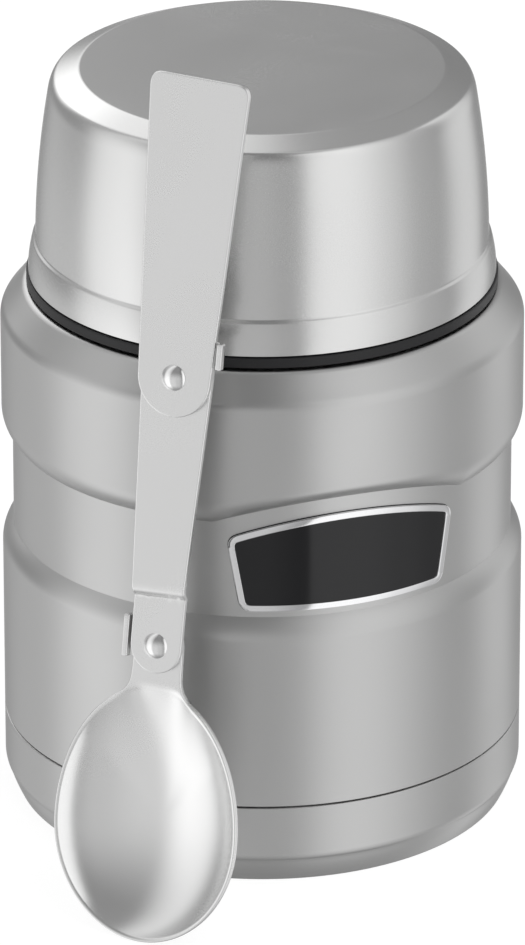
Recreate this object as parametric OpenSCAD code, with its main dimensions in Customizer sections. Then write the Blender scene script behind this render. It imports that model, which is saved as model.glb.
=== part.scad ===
// Insulated food jar: double-walled vessel, screw-in stopper, screw-on bowl lid and folding spoon.
// Millimetres, +Z up, origin at the centre of the foot.

/* [Jar body] */
// Largest diameter of the body, at the two bands
jar_d = 94.5; // [84:0.5:110]
// Depth of the waist below the two bands
waist_depth = 2; // [1:0.1:2.6]
// Height of the body up to the flat under the collar
body_h = 98.5; // [94:0.5:130]
// Height of the waist's lower edge
waist_low = 52.3; // [40:0.1:54]
// Height of the waist between the bands
waist_h = 18.2; // [16:0.1:19]
// Height of the base cover, up to the seam
base_h = 15.4; // [12:0.5:24]
// Distance from the band in to the edge of the foot
foot_inset = 2.85; // [1.5:0.05:5]
// Width of the sloping shoulder
shoulder_w = 4.85; // [4:0.05:8]
// Height of the sloping shoulder
shoulder_h = 6.2; // [4:0.1:8]
// Sheet thickness of the outer shell and the base cover
shell_wall = 0.6; // [0.4:0.1:1]
// Width of the dark line at the base seam
seam_gap = 0.3; // [0.2:0.1:0.6]

/* [Inner vessel] */
// Gap between the two walls at the waist
vacuum_gap = 2.65; // [1.5:0.05:6]
// Width of the lip, from the mouth to the outside of the neck
lip_w = 1.6; // [1.4:0.05:3]
// Sheet thickness of the inner vessel
vessel_wall = 0.5; // [0.4:0.1:0.8]
// Height of the mouth's lip above the flat of the body
neck_h = 13.4; // [10:0.2:16]
// Clear height of the vacuum space under the food space
floor_gap = 4.7; // [3.5:0.1:10]

/* [Collar] */
// Step from the shoulder's edge in to the black ring
collar_step = 0.3; // [0.1:0.1:1]
// Height of the black ring
collar_h = 2.5; // [2:0.1:5]
// Wall of the sleeve that the lid screws onto
sleeve_wall = 1.75; // [1.2:0.05:3]

/* [Lid] */
// Height of the lid
lid_h = 38.3; // [36:0.1:60]
// Overhang of the lid's lower edge over the black ring
skirt_over = 0.3; // [0:0.1:1]
// Height of the flared skirt
skirt_h = 7.7; // [6:0.1:9]
// Flare of the skirt, from the crease to the lower edge
skirt_flare = 1.7; // [1:0.1:2.4]
// Taper of the wall, from the crease to the rounded edge
wall_taper = 2.3; // [1:0.1:3]
// Width of the rounded edge at the top of the wall
edge_w = 1.5; // [1:0.1:3]
// Width of the slope round the flat top
bevel_w = 4.1; // [2:0.1:8]
// Height of the slope round the flat top
bevel_h = 1.65; // [1:0.05:2.2]
// Outward bow of the wall between edge and crease
lid_bow = 0.5; // [0:0.1:1]
// Sheet thickness of the lid's shell
lid_wall = 0.6; // [0.4:0.1:1]
// Gap between the lid's edge and the black ring
lid_gap = 0.3; // [0.2:0.1:0.6]
// Wall of the liner's threaded foot, at the crease
liner_foot = 1.15; // [0.9:0.05:2]
// Room for the screw thread between sleeve and liner
thread_gap = 0.5; // [0.4:0.05:1]

/* [Stopper] */
// Room between the stopper's grip and the lid's ceiling
head_room = 5; // [2:0.5:8]
// Depth of the round well that holds the folded spoon
well_depth = 14; // [8:0.5:15]
// Depth of the plug below the lip
plug_h = 19; // [16:0.5:26]
// Gap between the plug and the mouth
plug_gap = 0.5; // [0.3:0.05:1]
// Wall of the moulded stopper
stopper_wall = 2.4; // [1.8:0.1:3]
// Number of grip ribs
rib_count = 36; // [12:2:60]

/* [Badge] */
// Turn of the badge to the right of the front
badge_turn = 20; // [0:1:40]
// Width of the badge along its lower edge
badge_low_w = 40; // [30:0.5:44]
// Width of the badge at its upper corners
badge_top_w = 44; // [34:0.5:48]
// Gap between the waist's lower edge and the badge
badge_under = 1.3; // [0.8:0.1:3]
// Gap between the badge's upper corners and the waist's upper edge
badge_over = 2.3; // [0.8:0.1:3]
// Rise of the badge's upper edge over its corners
badge_crown = 3.7; // [1:0.1:5]
// Width of the bright bezel round the plate
bezel_w = 1.25; // [0.8:0.05:2]
// Height of the bezel above the waist
bezel_proud = 0.7; // [0.4:0.1:1]

/* [Spoon] */
// Width of the spoon's bowl
bowl_w = 35.8; // [28:0.1:38]
// Length of the bowl from its tip to its widest place
bowl_tip_len = 20.8; // [18:0.1:26]
// Length of the bowl from its widest place to the neck
bowl_neck_len = 25.8; // [20:0.1:28]
// Depth of the bowl, outside
bowl_depth = 7.5; // [5:0.1:8]
// Distance between the neck's end of the bowl and the lower rivet
neck_len = 7.9; // [7:0.1:12]
// Distance between the two rivets
link_len = 49; // [40:0.1:60]
// Length of the handle above the upper rivet
handle_len = 53.5; // [40:0.1:58]
// Width of the handle at its free end
handle_w = 19.4; // [15:0.1:22]
// Width of the handle at the upper rivet
handle_low_w = 14.1; // [13.8:0.1:16]
// Width of the middle link at the upper rivet
link_w = 13.8; // [11:0.1:13.8]
// Width of the middle link at the lower rivet
link_low_w = 10; // [9:0.1:11]
// Sheet thickness of the spoon
spoon_sheet = 1.1; // [0.9:0.05:1.3]
// Diameter of the rivets' shanks
rivet_d = 3.2; // [2.6:0.1:3.4]
// Distance of the spoon's tip from the jar's side
spoon_off = 26.2; // [24:0.1:60]
// Place of the spoon's tip round the jar, to the left of the front
spoon_side = 18.4; // [0:0.1:60]
// Turn of the spoon's face to the left of the front
spoon_turn = 26.6; // [0:0.1:40]
// Lean of the spoon towards the jar
spoon_lean = 11.5; // [4:0.1:12]
// Swing of the bowl about the lower rivet, off the line of the spoon
bowl_swing = 1.1; // [0:0.1:2]

/* [Hidden] */
$fn = 96;

// clearances
fit = 0.05;          // pressed or sliding fit, per side
run = 0.3;           // running gap between pieces that turn past each other
over = 2;            // how far a cutting tool runs past what it cuts

// body
band_r = jar_d / 2;
waist_r = band_r - waist_depth;
waist_top = waist_low + waist_h;
foot_r = band_r - foot_inset;
skirt_r = band_r - shell_wall - fit;   // lower skirt of the shell, inside the base cover
rim_r = band_r - shoulder_w;           // where the shoulder meets the flat
shoulder_round = 1;
shoulder_edge = [1.2, 2.3];            // control height and height of the band's rounded upper edge
rim_round = 0.4;
band_round = [1.95, 4.47];             // control height and height of the rounding under the upper band
low_round = [2.35, 4.3];               // the same of the rounding over the lower band
chamfer_h = 5.2;                       // height of the bevel round the foot
chamfer_top = [0.45, 0.1, 0.4, 1];     // widths, then heights, of the soft edge over the bevel
foot_edge = [0.1, 0.5, 0.7];           // widths of the rounding at the foot's edge
foot_edge_h = 0.5;
chamfer_bow = 0.12;                    // outward bow of the bevel round the foot
foot_w = 5;                            // width of the foot ring
foot_ring_slope = 1;
foot_recess = 1.6;
lip_z = body_h + neck_h;
neck_fillet = 0.8;

// lid, from the black ring inwards
ring_r = rim_r - collar_step;
skirt_edge_r = ring_r + skirt_over;
crease_r = skirt_edge_r - skirt_flare;
edge_r = crease_r - wall_taper;
bevel_r = edge_r - edge_w;
lid_top_r = bevel_r - bevel_w;
liner_r = crease_r - lid_wall - fit - liner_foot;   // inside of the liner's threaded foot
sleeve_r = liner_r - thread_gap;
neck_r = sleeve_r - sleeve_wall - fit;              // outside of the shell's neck
mouth_r = neck_r - lip_w;

// closed vacuum space
vessel_r = waist_r - shell_wall - vacuum_gap - vessel_wall;
end_plate_z = 6.5;
end_plate_t = 0.8;
end_plate_lip = 4;
end_plate_dome = 1;                    // rise of the plate's middle
getter_r = 7;
getter_h = 2.4;
getter_x = 20;
getter_dish = 0.5;
getter_rim = 1;
port_r = 1.2;
port_seal_r = 3;
port_seal_foot = 0.7;                  // share of the seal's radius at its foot
port_seal_h = 0.9;
vessel_floor = end_plate_z + end_plate_t + floor_gap + vessel_wall;
vessel_corner = 7;
vessel_lip_round = 0.7;
// heights below the body's flat: start of the vessel's shoulder, its middle, its throat and its neck
vessel_drops = [14.5, 8, 5.5, 2];
vessel_shoulder_pull = 4;

// collar
ring_z = body_h + fit;
ring_top = body_h + collar_h;
ring_groove_h = 0.9;
ring_groove = 0.8;
ring_edge = 0.3;
sleeve_top = lip_z - 1.2;
sleeve_edge = 0.6;

// lid
lid_z = ring_top + lid_gap;
lid_top = lid_z + lid_h;
skirt_bow = 0.1;
edge_drop = 4.9;                       // top face to the start of the straight wall
edge_pull = [0.4, 0.55];
liner_t = 1.4;
liner_gap = 0.8;                       // air between shell and liner
liner_foot_h = 8.6;
liner_rise = 0.35;                     // the liner starts above the skirt's edge
liner_step_h = 1;                      // shoulder between the liner's foot and its wall
liner_corner = 2.5;                    // rounding at the liner's ceiling
liner_back = [0.3, 2];                 // the same at its back
ceiling_drop = 3.6;                    // lid top to the liner's inner ceiling
ceiling = lid_top - ceiling_drop;
seal_w = 0.9;
seal_h = 1.2;
seal_wall = 0.6;                       // wall of the liner inside the seal's groove
seal_lift = 0.1;
foam_inset = 1;

// stopper
plug_r = mouth_r - plug_gap;
flange_z = lip_z + run;
flange_h = 2.8;
flange_r = neck_r + 0.6;
flange_edge = 0.5;
grip_r = mouth_r + 0.2;
grip_top = ceiling - head_room;
grip_edge = 0.8;
well_floor = grip_top - well_depth;
well_r = grip_r - stopper_wall - 0.4;
plug_z = lip_z - plug_h;
base_t = 1.6;                          // thickness of the stopper's bottom cap
base_rim = 3;
base_rim_w = 1.2;
base_edge = 1;
base_gap = fit / 5;
oring_z = lip_z - 8;
oring_h = 3;
oring_depth = 1.4;
oring_proud = 0.15;
rib_r = 0.7;
rib_sunk = 0.4;                        // share of a rib's radius that lies in the grip

// badge and the arched notch in the upper band over it
badge_z = waist_low + badge_under;
badge_side_h = waist_h - badge_under - badge_over;
badge_round = 2;
plate_proud = 0.6;                     // share of the bezel's height that the plate has
notch_margin = 2.1;                    // along the waist, from badge corner to notch corner
notch_side = 1.1;                      // height of the notch's corners over the waist's upper edge
notch_crown = badge_crown + 0.5;
notch_low = waist_low + 5;

// spoon
rivet2_v = bowl_tip_len + bowl_neck_len + neck_len;
rivet1_v = rivet2_v + link_len;
neck_w = link_low_w - 0.7;
neck_pull = [0.8, 1.2];                // lengths of the curve that runs into the neck's sides
leaf_gap = fit;
link_low_z = leaf_gap;
jog = spoon_sheet + 0.15;              // step of the link, so that it passes over the rivet
link_z = link_low_z + jog;
handle_z = link_z + spoon_sheet + leaf_gap;
jog_v = rivet2_v + link_low_w * 0.85;
jog_len = 1.4;
bowl_rim = 0.9;
bowl_sides = 48;
bowl_rings = 7;
rivet_head_r = rivet_d * 0.72;
dome_h = 0.95;
back_head_h = 0.42;
hole_reach = 8 * spoon_sheet;
ear_t = 1.3;
ear_gap = 0.5;                         // from the handle's edge to the upper ear
ear_h = 4.7;
ear_rise = 2.8;
low_ear_h = 7.7;
low_ear_drop = 2.9;
handle_corner = 2.6;
spoon_z = 0.4;

// ---- curves ----
function lerp(a, b, t) = a + (b - a) * t;
function bezier(a, c, b, n = 6) =
    [for (i = [0:n]) let (t = i / n) a * (1 - t) * (1 - t) + c * 2 * t * (1 - t) + b * t * t];
function bowed(a, b, h, n = 6) =
    [for (i = [0:n]) let (t = i / n) [lerp(a.x, b.x, t) + 4 * h * t * (1 - t), lerp(a.y, b.y, t)]];
function backwards(p) = [for (i = [len(p) - 1:-1:0]) p[i]];
function thinned(p) = [for (i = [0:len(p) - 1]) if (i == 0 || norm(p[i] - p[i - 1]) > 0.01) p[i]];
function left_of(a, b) = let (d = b - a) [-d.y, d.x] / norm(d);
// the path moved to its left by t, with mitred corners
function beside(p, t) = let (last = len(p) - 1)
    [for (i = [0:last])
        let (n0 = left_of(p[max(i - 1, 0)], p[max(i, 1)]),
             n1 = left_of(p[min(i, last - 1)], p[min(i + 1, last)]),
             m = n0 + n1)
        p[i] + m * (2 * t / (m * m))];
function sheet(p, t) = concat(p, backwards(beside(p, t)));
// corners eased over the length in the third number of each point
function eased(p, n = 4) = let (k = len(p))
    [for (i = [0:k - 1])
        let (q = [p[i].x, p[i].y], a = p[(i + k - 1) % k], b = p[(i + 1) % k], e = p[i][2],
             da = [a.x, a.y] - q, db = [b.x, b.y] - q)
        each (e == 0 ? [q] : bezier(q + da / norm(da) * e, q, q + db / norm(db) * e, n))];
function arch(half, z, crown, n = 10) =
    [for (i = [0:n]) let (s = 1 - 2 * i / n) [half * s, z + crown * (1 - s * s)]];

// ---- outlines, from the bottom up ----
shell_path = thinned(concat(
    [[skirt_r, end_plate_z], [skirt_r, base_h], [band_r, base_h + seam_gap]],
    bezier([band_r, waist_low - low_round[1]], [band_r, waist_low - low_round[0]], [waist_r, waist_low]),
    bezier([waist_r, waist_top], [band_r, waist_top + band_round[0]], [band_r, waist_top + band_round[1]], 8),
    bezier([band_r, body_h - shoulder_h], [band_r, body_h - shoulder_h + shoulder_edge[0]],
        [band_r - shoulder_round, body_h - shoulder_h + shoulder_edge[1]]),
    bezier([rim_r + shoulder_round, body_h - rim_round], [rim_r + rim_round, body_h], [rim_r, body_h], 3),
    bezier([neck_r + neck_fillet, body_h], [neck_r, body_h], [neck_r, body_h + neck_fillet], 3),
    [[neck_r, lip_z - vessel_wall]]));

vessel_shoulder_z = body_h - vessel_drops[0];
vessel_shoulder_mid = [(vessel_r + mouth_r) / 2, body_h - vessel_drops[1]];
vessel_path = thinned(concat(
    [[0, vessel_floor]],
    bezier([vessel_r - vessel_corner, vessel_floor], [vessel_r, vessel_floor],
        [vessel_r, vessel_floor + vessel_corner]),
    bezier([vessel_r, vessel_shoulder_z], [vessel_r, vessel_shoulder_z + vessel_shoulder_pull],
        vessel_shoulder_mid),
    bezier(vessel_shoulder_mid, [mouth_r, body_h - vessel_drops[2]], [mouth_r, body_h - vessel_drops[3]]),
    bezier([mouth_r, lip_z - vessel_lip_round], [mouth_r, lip_z], [mouth_r + vessel_lip_round, lip_z], 4),
    [[neck_r, lip_z]]));

crease_z = lid_z + skirt_h;
lid_edge = [edge_r, lid_top - edge_drop];
lid_crease = [crease_r, crease_z];
lid_wall_path = bowed(lid_crease, lid_edge, lid_bow);
lid_path = thinned(concat(
    bowed([skirt_edge_r, lid_z], lid_crease, skirt_bow, 4),
    lid_wall_path,
    bezier(lid_edge, [edge_r - edge_pull[0], lid_top - bevel_h - edge_pull[1]], [bevel_r, lid_top - bevel_h]),
    [[lid_top_r, lid_top], [0, lid_top]]));

// ---- helpers ----
module revolved(p) {
    rotate_extrude() polygon(p);
}

// a body of revolution under a path, with its ends carried on by extra
module filled(p, extra = 0) {
    last = len(p) - 1;
    revolved(thinned(concat([[0, p[0].y - extra], [p[0].x, p[0].y - extra]], p,
        [[p[last].x, p[last].y + extra], [0, p[last].y + extra]])));
}

module ring(r_in, r_out, z0, z1) {
    translate([0, 0, z0]) difference() {
        cylinder(r = r_out, h = z1 - z0);
        translate([0, 0, -over]) cylinder(r = r_in, h = z1 - z0 + 2 * over);
    }
}

// outline drawn on the unrolled waist, cut radially and turned to the badge's place
function wrapped(p) = [for (q = p) [waist_r * sin(q.x / waist_r * 180 / PI), q.y]];
module radial_cut(outline) {
    rotate([0, 0, badge_turn]) rotate([90, 0, 0])
        linear_extrude(height = band_r + over) polygon(wrapped(outline));
}

function badge_outline(inset) = let (
    low = badge_low_w / 2 - inset, top = badge_top_w / 2 - inset,
    z0 = badge_z + inset, z1 = badge_z + badge_side_h - inset * 0.9,
    crown = arch(top, z1, badge_crown), e = badge_round - inset * 0.6)
    eased(concat([[-low, z0, e], [low, z0, e], [top, z1, e]],
        [for (i = [2:len(crown) - 3]) [crown[i].x, crown[i].y, 0]],
        [[-top, z1, e]]));

function notch_outline(grow) = let (
    half = badge_top_w / 2 + notch_margin + grow,
    top = arch(half, waist_top + notch_side + grow, notch_crown))
    concat([[-half, notch_low], [half, notch_low]], top);

module shell_solid(inset) {
    difference() {
        filled(beside(shell_path, inset), inset > 0 ? over : 0);
        intersection() {
            ring(waist_r - inset, band_r + over, notch_low, body_h - shoulder_h);
            radial_cut(notch_outline(inset));
        }
    }
}

// ---- jar ----
module outer_shell() {
    color([0.72, 0.72, 0.71]) difference() {
        shell_solid(0);
        shell_solid(shell_wall);
    }
}

module inner_vessel() {
    color([0.78, 0.78, 0.77]) revolved(sheet(vessel_path, -vessel_wall));
}

module vacuum_end_plate() {
    plate_r = skirt_r - shell_wall;
    color([0.66, 0.66, 0.66]) difference() {
        revolved(sheet([[0, end_plate_z + end_plate_dome], [port_seal_r + 1, end_plate_z + end_plate_dome],
            [port_seal_r + 3, end_plate_z + end_plate_t], [plate_r - end_plate_t, end_plate_z + end_plate_t],
            [plate_r - end_plate_t, end_plate_z + end_plate_lip]], -end_plate_t));
        cylinder(r = port_r, h = 2 * (end_plate_z + over), center = true);
    }
}

module getter() {
    color([0.45, 0.44, 0.42]) translate([getter_x, 0, end_plate_z + end_plate_t]) difference() {
        cylinder(r = getter_r, h = getter_h);
        translate([0, 0, getter_h - getter_dish]) cylinder(r = getter_r - getter_rim, h = getter_dish + over);
    }
}

module evacuation_seal() {
    color([0.35, 0.35, 0.38]) translate([0, 0, end_plate_z + end_plate_dome - end_plate_t - port_seal_h])
        cylinder(r1 = port_seal_r * port_seal_foot, r2 = port_seal_r, h = port_seal_h);
}

module base_cover() {
    floor_z = foot_recess + shell_wall;
    outside = thinned(concat(
        [[foot_r, 0]],
        bezier([foot_r + foot_edge[0], 0], [foot_r + foot_edge[1], 0], [foot_r + foot_edge[2], foot_edge_h], 3),
        bowed([foot_r + foot_edge[2], foot_edge_h], [band_r - chamfer_top[0], chamfer_h - chamfer_top[2]],
            chamfer_bow, 4),
        bezier([band_r - chamfer_top[0], chamfer_h - chamfer_top[2]], [band_r - chamfer_top[1], chamfer_h],
            [band_r, chamfer_h + chamfer_top[3]], 4),
        [[band_r, base_h]]));
    inside = beside(outside, shell_wall);
    color([0.7, 0.7, 0.69]) revolved(thinned(concat(
        outside,
        backwards([for (q = inside) if (q.y > floor_z) q]),
        [[foot_r - foot_w, floor_z], [0, floor_z], [0, foot_recess],
         [foot_r - foot_w, foot_recess], [foot_r - foot_w + foot_ring_slope, 0]])));
}

module neck_collar() {
    in_r = neck_r + fit;
    color([0.12, 0.12, 0.12]) revolved([[in_r + neck_fillet, ring_z], [ring_r - ring_groove, ring_z],
        [ring_r - ring_groove, ring_z + ring_groove_h], [ring_r, ring_z + ring_groove_h],
        [ring_r, ring_top - ring_edge], [ring_r - ring_edge, ring_top], [sleeve_r, ring_top],
        [sleeve_r, sleeve_top - sleeve_edge], [sleeve_r - sleeve_edge, sleeve_top], [in_r, sleeve_top],
        [in_r, ring_z + neck_fillet]]);
}

module badge_bezel() {
    color([0.86, 0.86, 0.87]) intersection() {
        ring(waist_r, waist_r + bezel_proud, badge_z - over, body_h);
        difference() {
            radial_cut(badge_outline(0));
            radial_cut(badge_outline(bezel_w));
        }
    }
}

module badge_plate() {
    color([0.1, 0.1, 0.1]) intersection() {
        ring(waist_r, waist_r + bezel_proud * plate_proud, badge_z - over, body_h);
        radial_cut(badge_outline(bezel_w));
    }
}

// ---- stopper ----
module stopper_seal() {
    color([0.75, 0.74, 0.7])
        ring(plug_r - oring_depth + run, plug_r + oring_proud, oring_z + run, oring_z + oring_h - run);
}

module stopper_body() {
    inner_r = plug_r - stopper_wall;
    rib_z = flange_z + flange_h - flange_edge;
    color([0.13, 0.13, 0.13]) {
        revolved([[plug_r, plug_z], [plug_r, oring_z], [plug_r - oring_depth, oring_z],
            [plug_r - oring_depth, oring_z + oring_h], [plug_r, oring_z + oring_h],
            [plug_r, flange_z], [flange_r, flange_z], [flange_r, flange_z + flange_h - flange_edge],
            [flange_r - flange_edge, flange_z + flange_h], [grip_r, flange_z + flange_h],
            [grip_r, grip_top - grip_edge], [grip_r - grip_edge, grip_top],
            [well_r + grip_edge, grip_top], [well_r, grip_top - grip_edge], [well_r, well_floor],
            [0, well_floor], [0, well_floor - stopper_wall], [inner_r, well_floor - stopper_wall],
            [inner_r, plug_z]]);
        for (i = [0:rib_count - 1]) rotate([0, 0, i * 360 / rib_count])
            translate([grip_r - rib_r * rib_sunk, 0, rib_z])
                cylinder(r = rib_r, h = grip_top - grip_edge - run - rib_z);
    }
}

module stopper_insulation() {
    color([0.93, 0.92, 0.88]) ring(0, plug_r - stopper_wall - fit,
        plug_z + base_rim + fit, well_floor - stopper_wall - fit);
}

module stopper_base() {
    inner_r = plug_r - stopper_wall - fit;
    color([0.16, 0.16, 0.16]) revolved([[0, plug_z - base_t], [plug_r - base_edge, plug_z - base_t],
        [plug_r, plug_z - base_t + base_edge], [plug_r, plug_z - base_gap], [inner_r, plug_z - base_gap],
        [inner_r, plug_z + base_rim], [inner_r - base_rim_w, plug_z + base_rim],
        [inner_r - base_rim_w, plug_z], [0, plug_z]]);
}

// ---- lid ----
module lid_seal() {
    in_r = liner_r + seal_wall + run;
    color([0.7, 0.7, 0.68])
        ring(in_r, in_r + seal_w, ring_top + seal_lift, ring_top + seal_lift + seal_h);
}

module lid_shell() {
    color([0.8, 0.8, 0.79]) revolved(thinned(sheet(lid_path, lid_wall)));
}

module lid_liner() {
    foot_z = lid_z + liner_rise;
    outer_wall = beside(lid_path, lid_wall + fit);
    inner_t = lid_wall + liner_gap + liner_t;
    wall_in = [for (q = beside(lid_wall_path, inner_t)) if (q.y > foot_z + liner_foot_h) q];
    wall_out = [for (q = beside(lid_wall_path, inner_t - liner_t)) if (q.y > foot_z + liner_foot_h) q];
    step_z = foot_z + liner_foot_h - liner_step_h;
    skirt_out = [for (q = outer_wall) if (q.y > foot_z && q.y < step_z) q];
    top_in = wall_in[len(wall_in) - 1];
    top_out = wall_out[len(wall_out) - 1];
    groove = liner_r + seal_wall;
    groove_out = groove + seal_w + 2 * run;
    color([0.2, 0.2, 0.2]) revolved(thinned(concat(
        [[liner_r, foot_z], [groove, foot_z], [groove, foot_z + seal_h], [groove_out, foot_z + seal_h],
         [groove_out, foot_z], [skirt_out[0].x, foot_z]],
        skirt_out,
        [[skirt_out[len(skirt_out) - 1].x, step_z]],
        wall_out,
        bezier([top_out.x, ceiling - 1], [top_out.x - liner_back[0], ceiling + liner_t],
            [top_in.x - liner_back[1], ceiling + liner_t], 4),
        [[0, ceiling + liner_t], [0, ceiling]],
        bezier([top_in.x - liner_corner, ceiling], [top_in.x, ceiling], [top_in.x, ceiling - liner_corner], 4),
        backwards(wall_in),
        [[liner_r, foot_z + liner_foot_h]])));
}

module lid_insulation() {
    color([0.92, 0.91, 0.87]) ring(0, lid_top_r - foam_inset, ceiling + liner_t + fit, lid_top - lid_wall - fit);
}

// ---- spoon, drawn flat: x across, y along, z towards the hollow side ----
module spoon_place() {
    far = band_r + spoon_off;
    translate([-far * sin(spoon_side), -far * cos(spoon_side), spoon_z])
        rotate([90 - spoon_lean, 0, -spoon_turn]) children();
}

module bowl_swung() {
    translate([0, rivet2_v, 0]) rotate([0, 0, bowl_swing]) translate([0, -rivet2_v, 0]) children();
}

module rivet_hole(v) {
    translate([0, v, -hole_reach]) cylinder(d = rivet_d + 2 * fit, h = 2 * hole_reach);
}

// egg outline of the bowl, moved inwards by inset
function egg(inset) = [for (i = [0:bowl_sides - 1]) let (a = i * 360 / bowl_sides)
    [(bowl_w / 2 - inset) * cos(a),
     ((sin(a) > 0 ? bowl_neck_len : bowl_tip_len) - inset) * sin(a)]];
// the egg outline carried down into a dish of depth d, with its lowest point last
function dish(inset, d) = concat(
    [for (k = [0:bowl_rings - 1]) let (f = 1 - k / bowl_rings)
        each [for (p = egg(inset)) [p.x * f, p.y * f, -d * (1 - f * f)]]],
    [[0, 0, -d]]);

module bowl_form() {
    n = bowl_sides;
    last = n * (bowl_rings - 1);
    low = n * bowl_rings;              // index of a dish's lowest point
    second = low + 1;                  // where the inner dish's points start
    side = [for (k = [0:bowl_rings - 2], i = [0:n - 1]) let (j = (i + 1) % n, a = k * n)
        each [[a + i, a + j, a + n + j], [a + i, a + n + j, a + n + i]]];
    tip = [for (i = [0:n - 1]) [last + i, last + (i + 1) % n, low]];
    outside = concat(side, tip);
    rim = [for (i = [0:n - 1]) let (j = (i + 1) % n) [i, second + i, second + j, j]];
    translate([0, bowl_tip_len, 0]) polyhedron(
        points = concat(dish(0, bowl_depth), dish(bowl_rim, bowl_depth - spoon_sheet)),
        faces = concat(outside, [for (f = outside) [second + f[2], second + f[1], second + f[0]]], rim));
}

module neck_flat() {
    half = neck_w / 2;
    end_v = bowl_tip_len + bowl_neck_len;
    // the flat starts on the middle of the bowl's rim and flares out of the neck
    rim_line = [for (p = egg(bowl_rim / 2)) if (p.y > 0 && abs(p.x) < bowl_w * 0.2) [p.x, p.y + bowl_tip_len]];
    flare = bezier(rim_line[0], [half, end_v - neck_pull[0]], [half, end_v + neck_pull[1]]);
    linear_extrude(height = spoon_sheet) {
        polygon(thinned(concat(flare, [[half, rivet2_v], [-half, rivet2_v]],
            backwards([for (q = flare) [-q.x, q.y]]), backwards(rim_line))));
        translate([0, rivet2_v]) circle(r = half);
    }
}

module spoon_bowl() {
    ear_in = link_low_w / 2 + run;
    ear_v = rivet2_v - low_ear_drop;
    color([0.85, 0.85, 0.85]) spoon_place() bowl_swung() difference() {
        union() {
            bowl_form();
            translate([0, 0, -spoon_sheet]) neck_flat();
            translate([-ear_in - ear_t, ear_v, -spoon_sheet])
                cube([ear_in + ear_t - neck_w / 4, low_ear_h, spoon_sheet]);
            translate([-ear_in - ear_t, ear_v, -spoon_sheet])
                cube([ear_t, low_ear_h, 2 * spoon_sheet + leaf_gap + 0.1]);
        }
        rivet_hole(rivet2_v);
    }
}

module spoon_link() {
    ear_in = handle_low_w / 2 + ear_gap;
    side = [[rivet2_v - link_w, link_low_z], [jog_v, link_low_z], [jog_v + jog_len, link_z],
        [rivet1_v + link_w, link_z]];
    color([0.84, 0.84, 0.84]) spoon_place() difference() {
        union() {
            intersection() {
                translate([-link_w, 0, 0]) rotate([90, 0, 90]) linear_extrude(height = 2 * link_w)
                    polygon(sheet(side, spoon_sheet));
                linear_extrude(height = 4 * spoon_sheet) {
                    polygon([[-link_low_w / 2, rivet2_v], [link_low_w / 2, rivet2_v],
                        [link_low_w / 2, jog_v], [link_w / 2, rivet1_v],
                        [-link_w / 2, rivet1_v], [-link_low_w / 2, jog_v]]);
                    translate([0, rivet2_v]) circle(d = link_low_w);
                    translate([0, rivet1_v]) circle(d = link_w);
                }
            }
            translate([link_w / 4, rivet1_v + ear_rise, link_z])
                cube([ear_in + ear_t - link_w / 4, ear_h, spoon_sheet]);
            translate([ear_in, rivet1_v + ear_rise, link_z])
                cube([ear_t, ear_h, 2 * spoon_sheet + leaf_gap + 0.2]);
        }
        for (v = [rivet2_v, rivet1_v]) rivet_hole(v);
    }
}

module spoon_handle() {
    low = handle_low_w / 2;
    top = handle_w / 2;
    end_v = rivet1_v + handle_len;
    color([0.85, 0.85, 0.85]) spoon_place() translate([0, 0, handle_z]) difference() {
        linear_extrude(height = spoon_sheet) {
            polygon(eased([[-low, rivet1_v, 0], [low, rivet1_v, 0], [top, end_v, handle_corner],
                [-top, end_v, handle_corner]], 6));
            translate([0, rivet1_v]) circle(r = low);
        }
        rivet_hole(rivet1_v);
    }
}

// a domed rivet through a pack of leaves between two heights
module rivet(v, z0, z1, front_gap, back_gap) {
    ball_r = (rivet_head_r * rivet_head_r + dome_h * dome_h) / (2 * dome_h);
    face = z1 + front_gap;
    translate([0, v, 0]) {
        translate([0, 0, z0 - back_gap]) cylinder(d = rivet_d, h = face - z0 + back_gap);
        translate([0, 0, z0 - back_gap - back_head_h]) cylinder(r = rivet_head_r, h = back_head_h);
        intersection() {
            translate([0, 0, face + dome_h - ball_r]) sphere(r = ball_r);
            translate([0, 0, face]) cylinder(r = rivet_head_r * 2, h = 2 * dome_h);
        }
    }
}

module upper_rivet() {
    color([0.9, 0.9, 0.9]) spoon_place()
        rivet(rivet1_v, link_z, handle_z + spoon_sheet, leaf_gap, 0);
}

module lower_rivet() {
    color([0.9, 0.9, 0.9]) spoon_place()
        rivet(rivet2_v, -spoon_sheet, link_low_z + spoon_sheet, 0, leaf_gap);
}

outer_shell();
inner_vessel();
vacuum_end_plate();
getter();
evacuation_seal();
base_cover();
neck_collar();
badge_bezel();
badge_plate();
stopper_seal();
stopper_body();
stopper_insulation();
stopper_base();
lid_seal();
lid_shell();
lid_liner();
lid_insulation();
spoon_bowl();
spoon_link();
spoon_handle();
upper_rivet();
lower_rivet();
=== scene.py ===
"""Insulated food jar with its lid, stopper and folding spoon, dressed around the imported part.

Sizes are in millimetres unless a name says otherwise, and meshes are made in metres.
+Z is up and -Y is the front. An azimuth is measured from the front towards +X.
"""

import logging
import math
from dataclasses import dataclass, field
from enum import Enum
from typing import Callable, Iterable, Sequence

import bmesh
import bpy
from mathutils import Matrix, Vector
from mathutils.geometry import delaunay_2d_cdt


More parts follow.
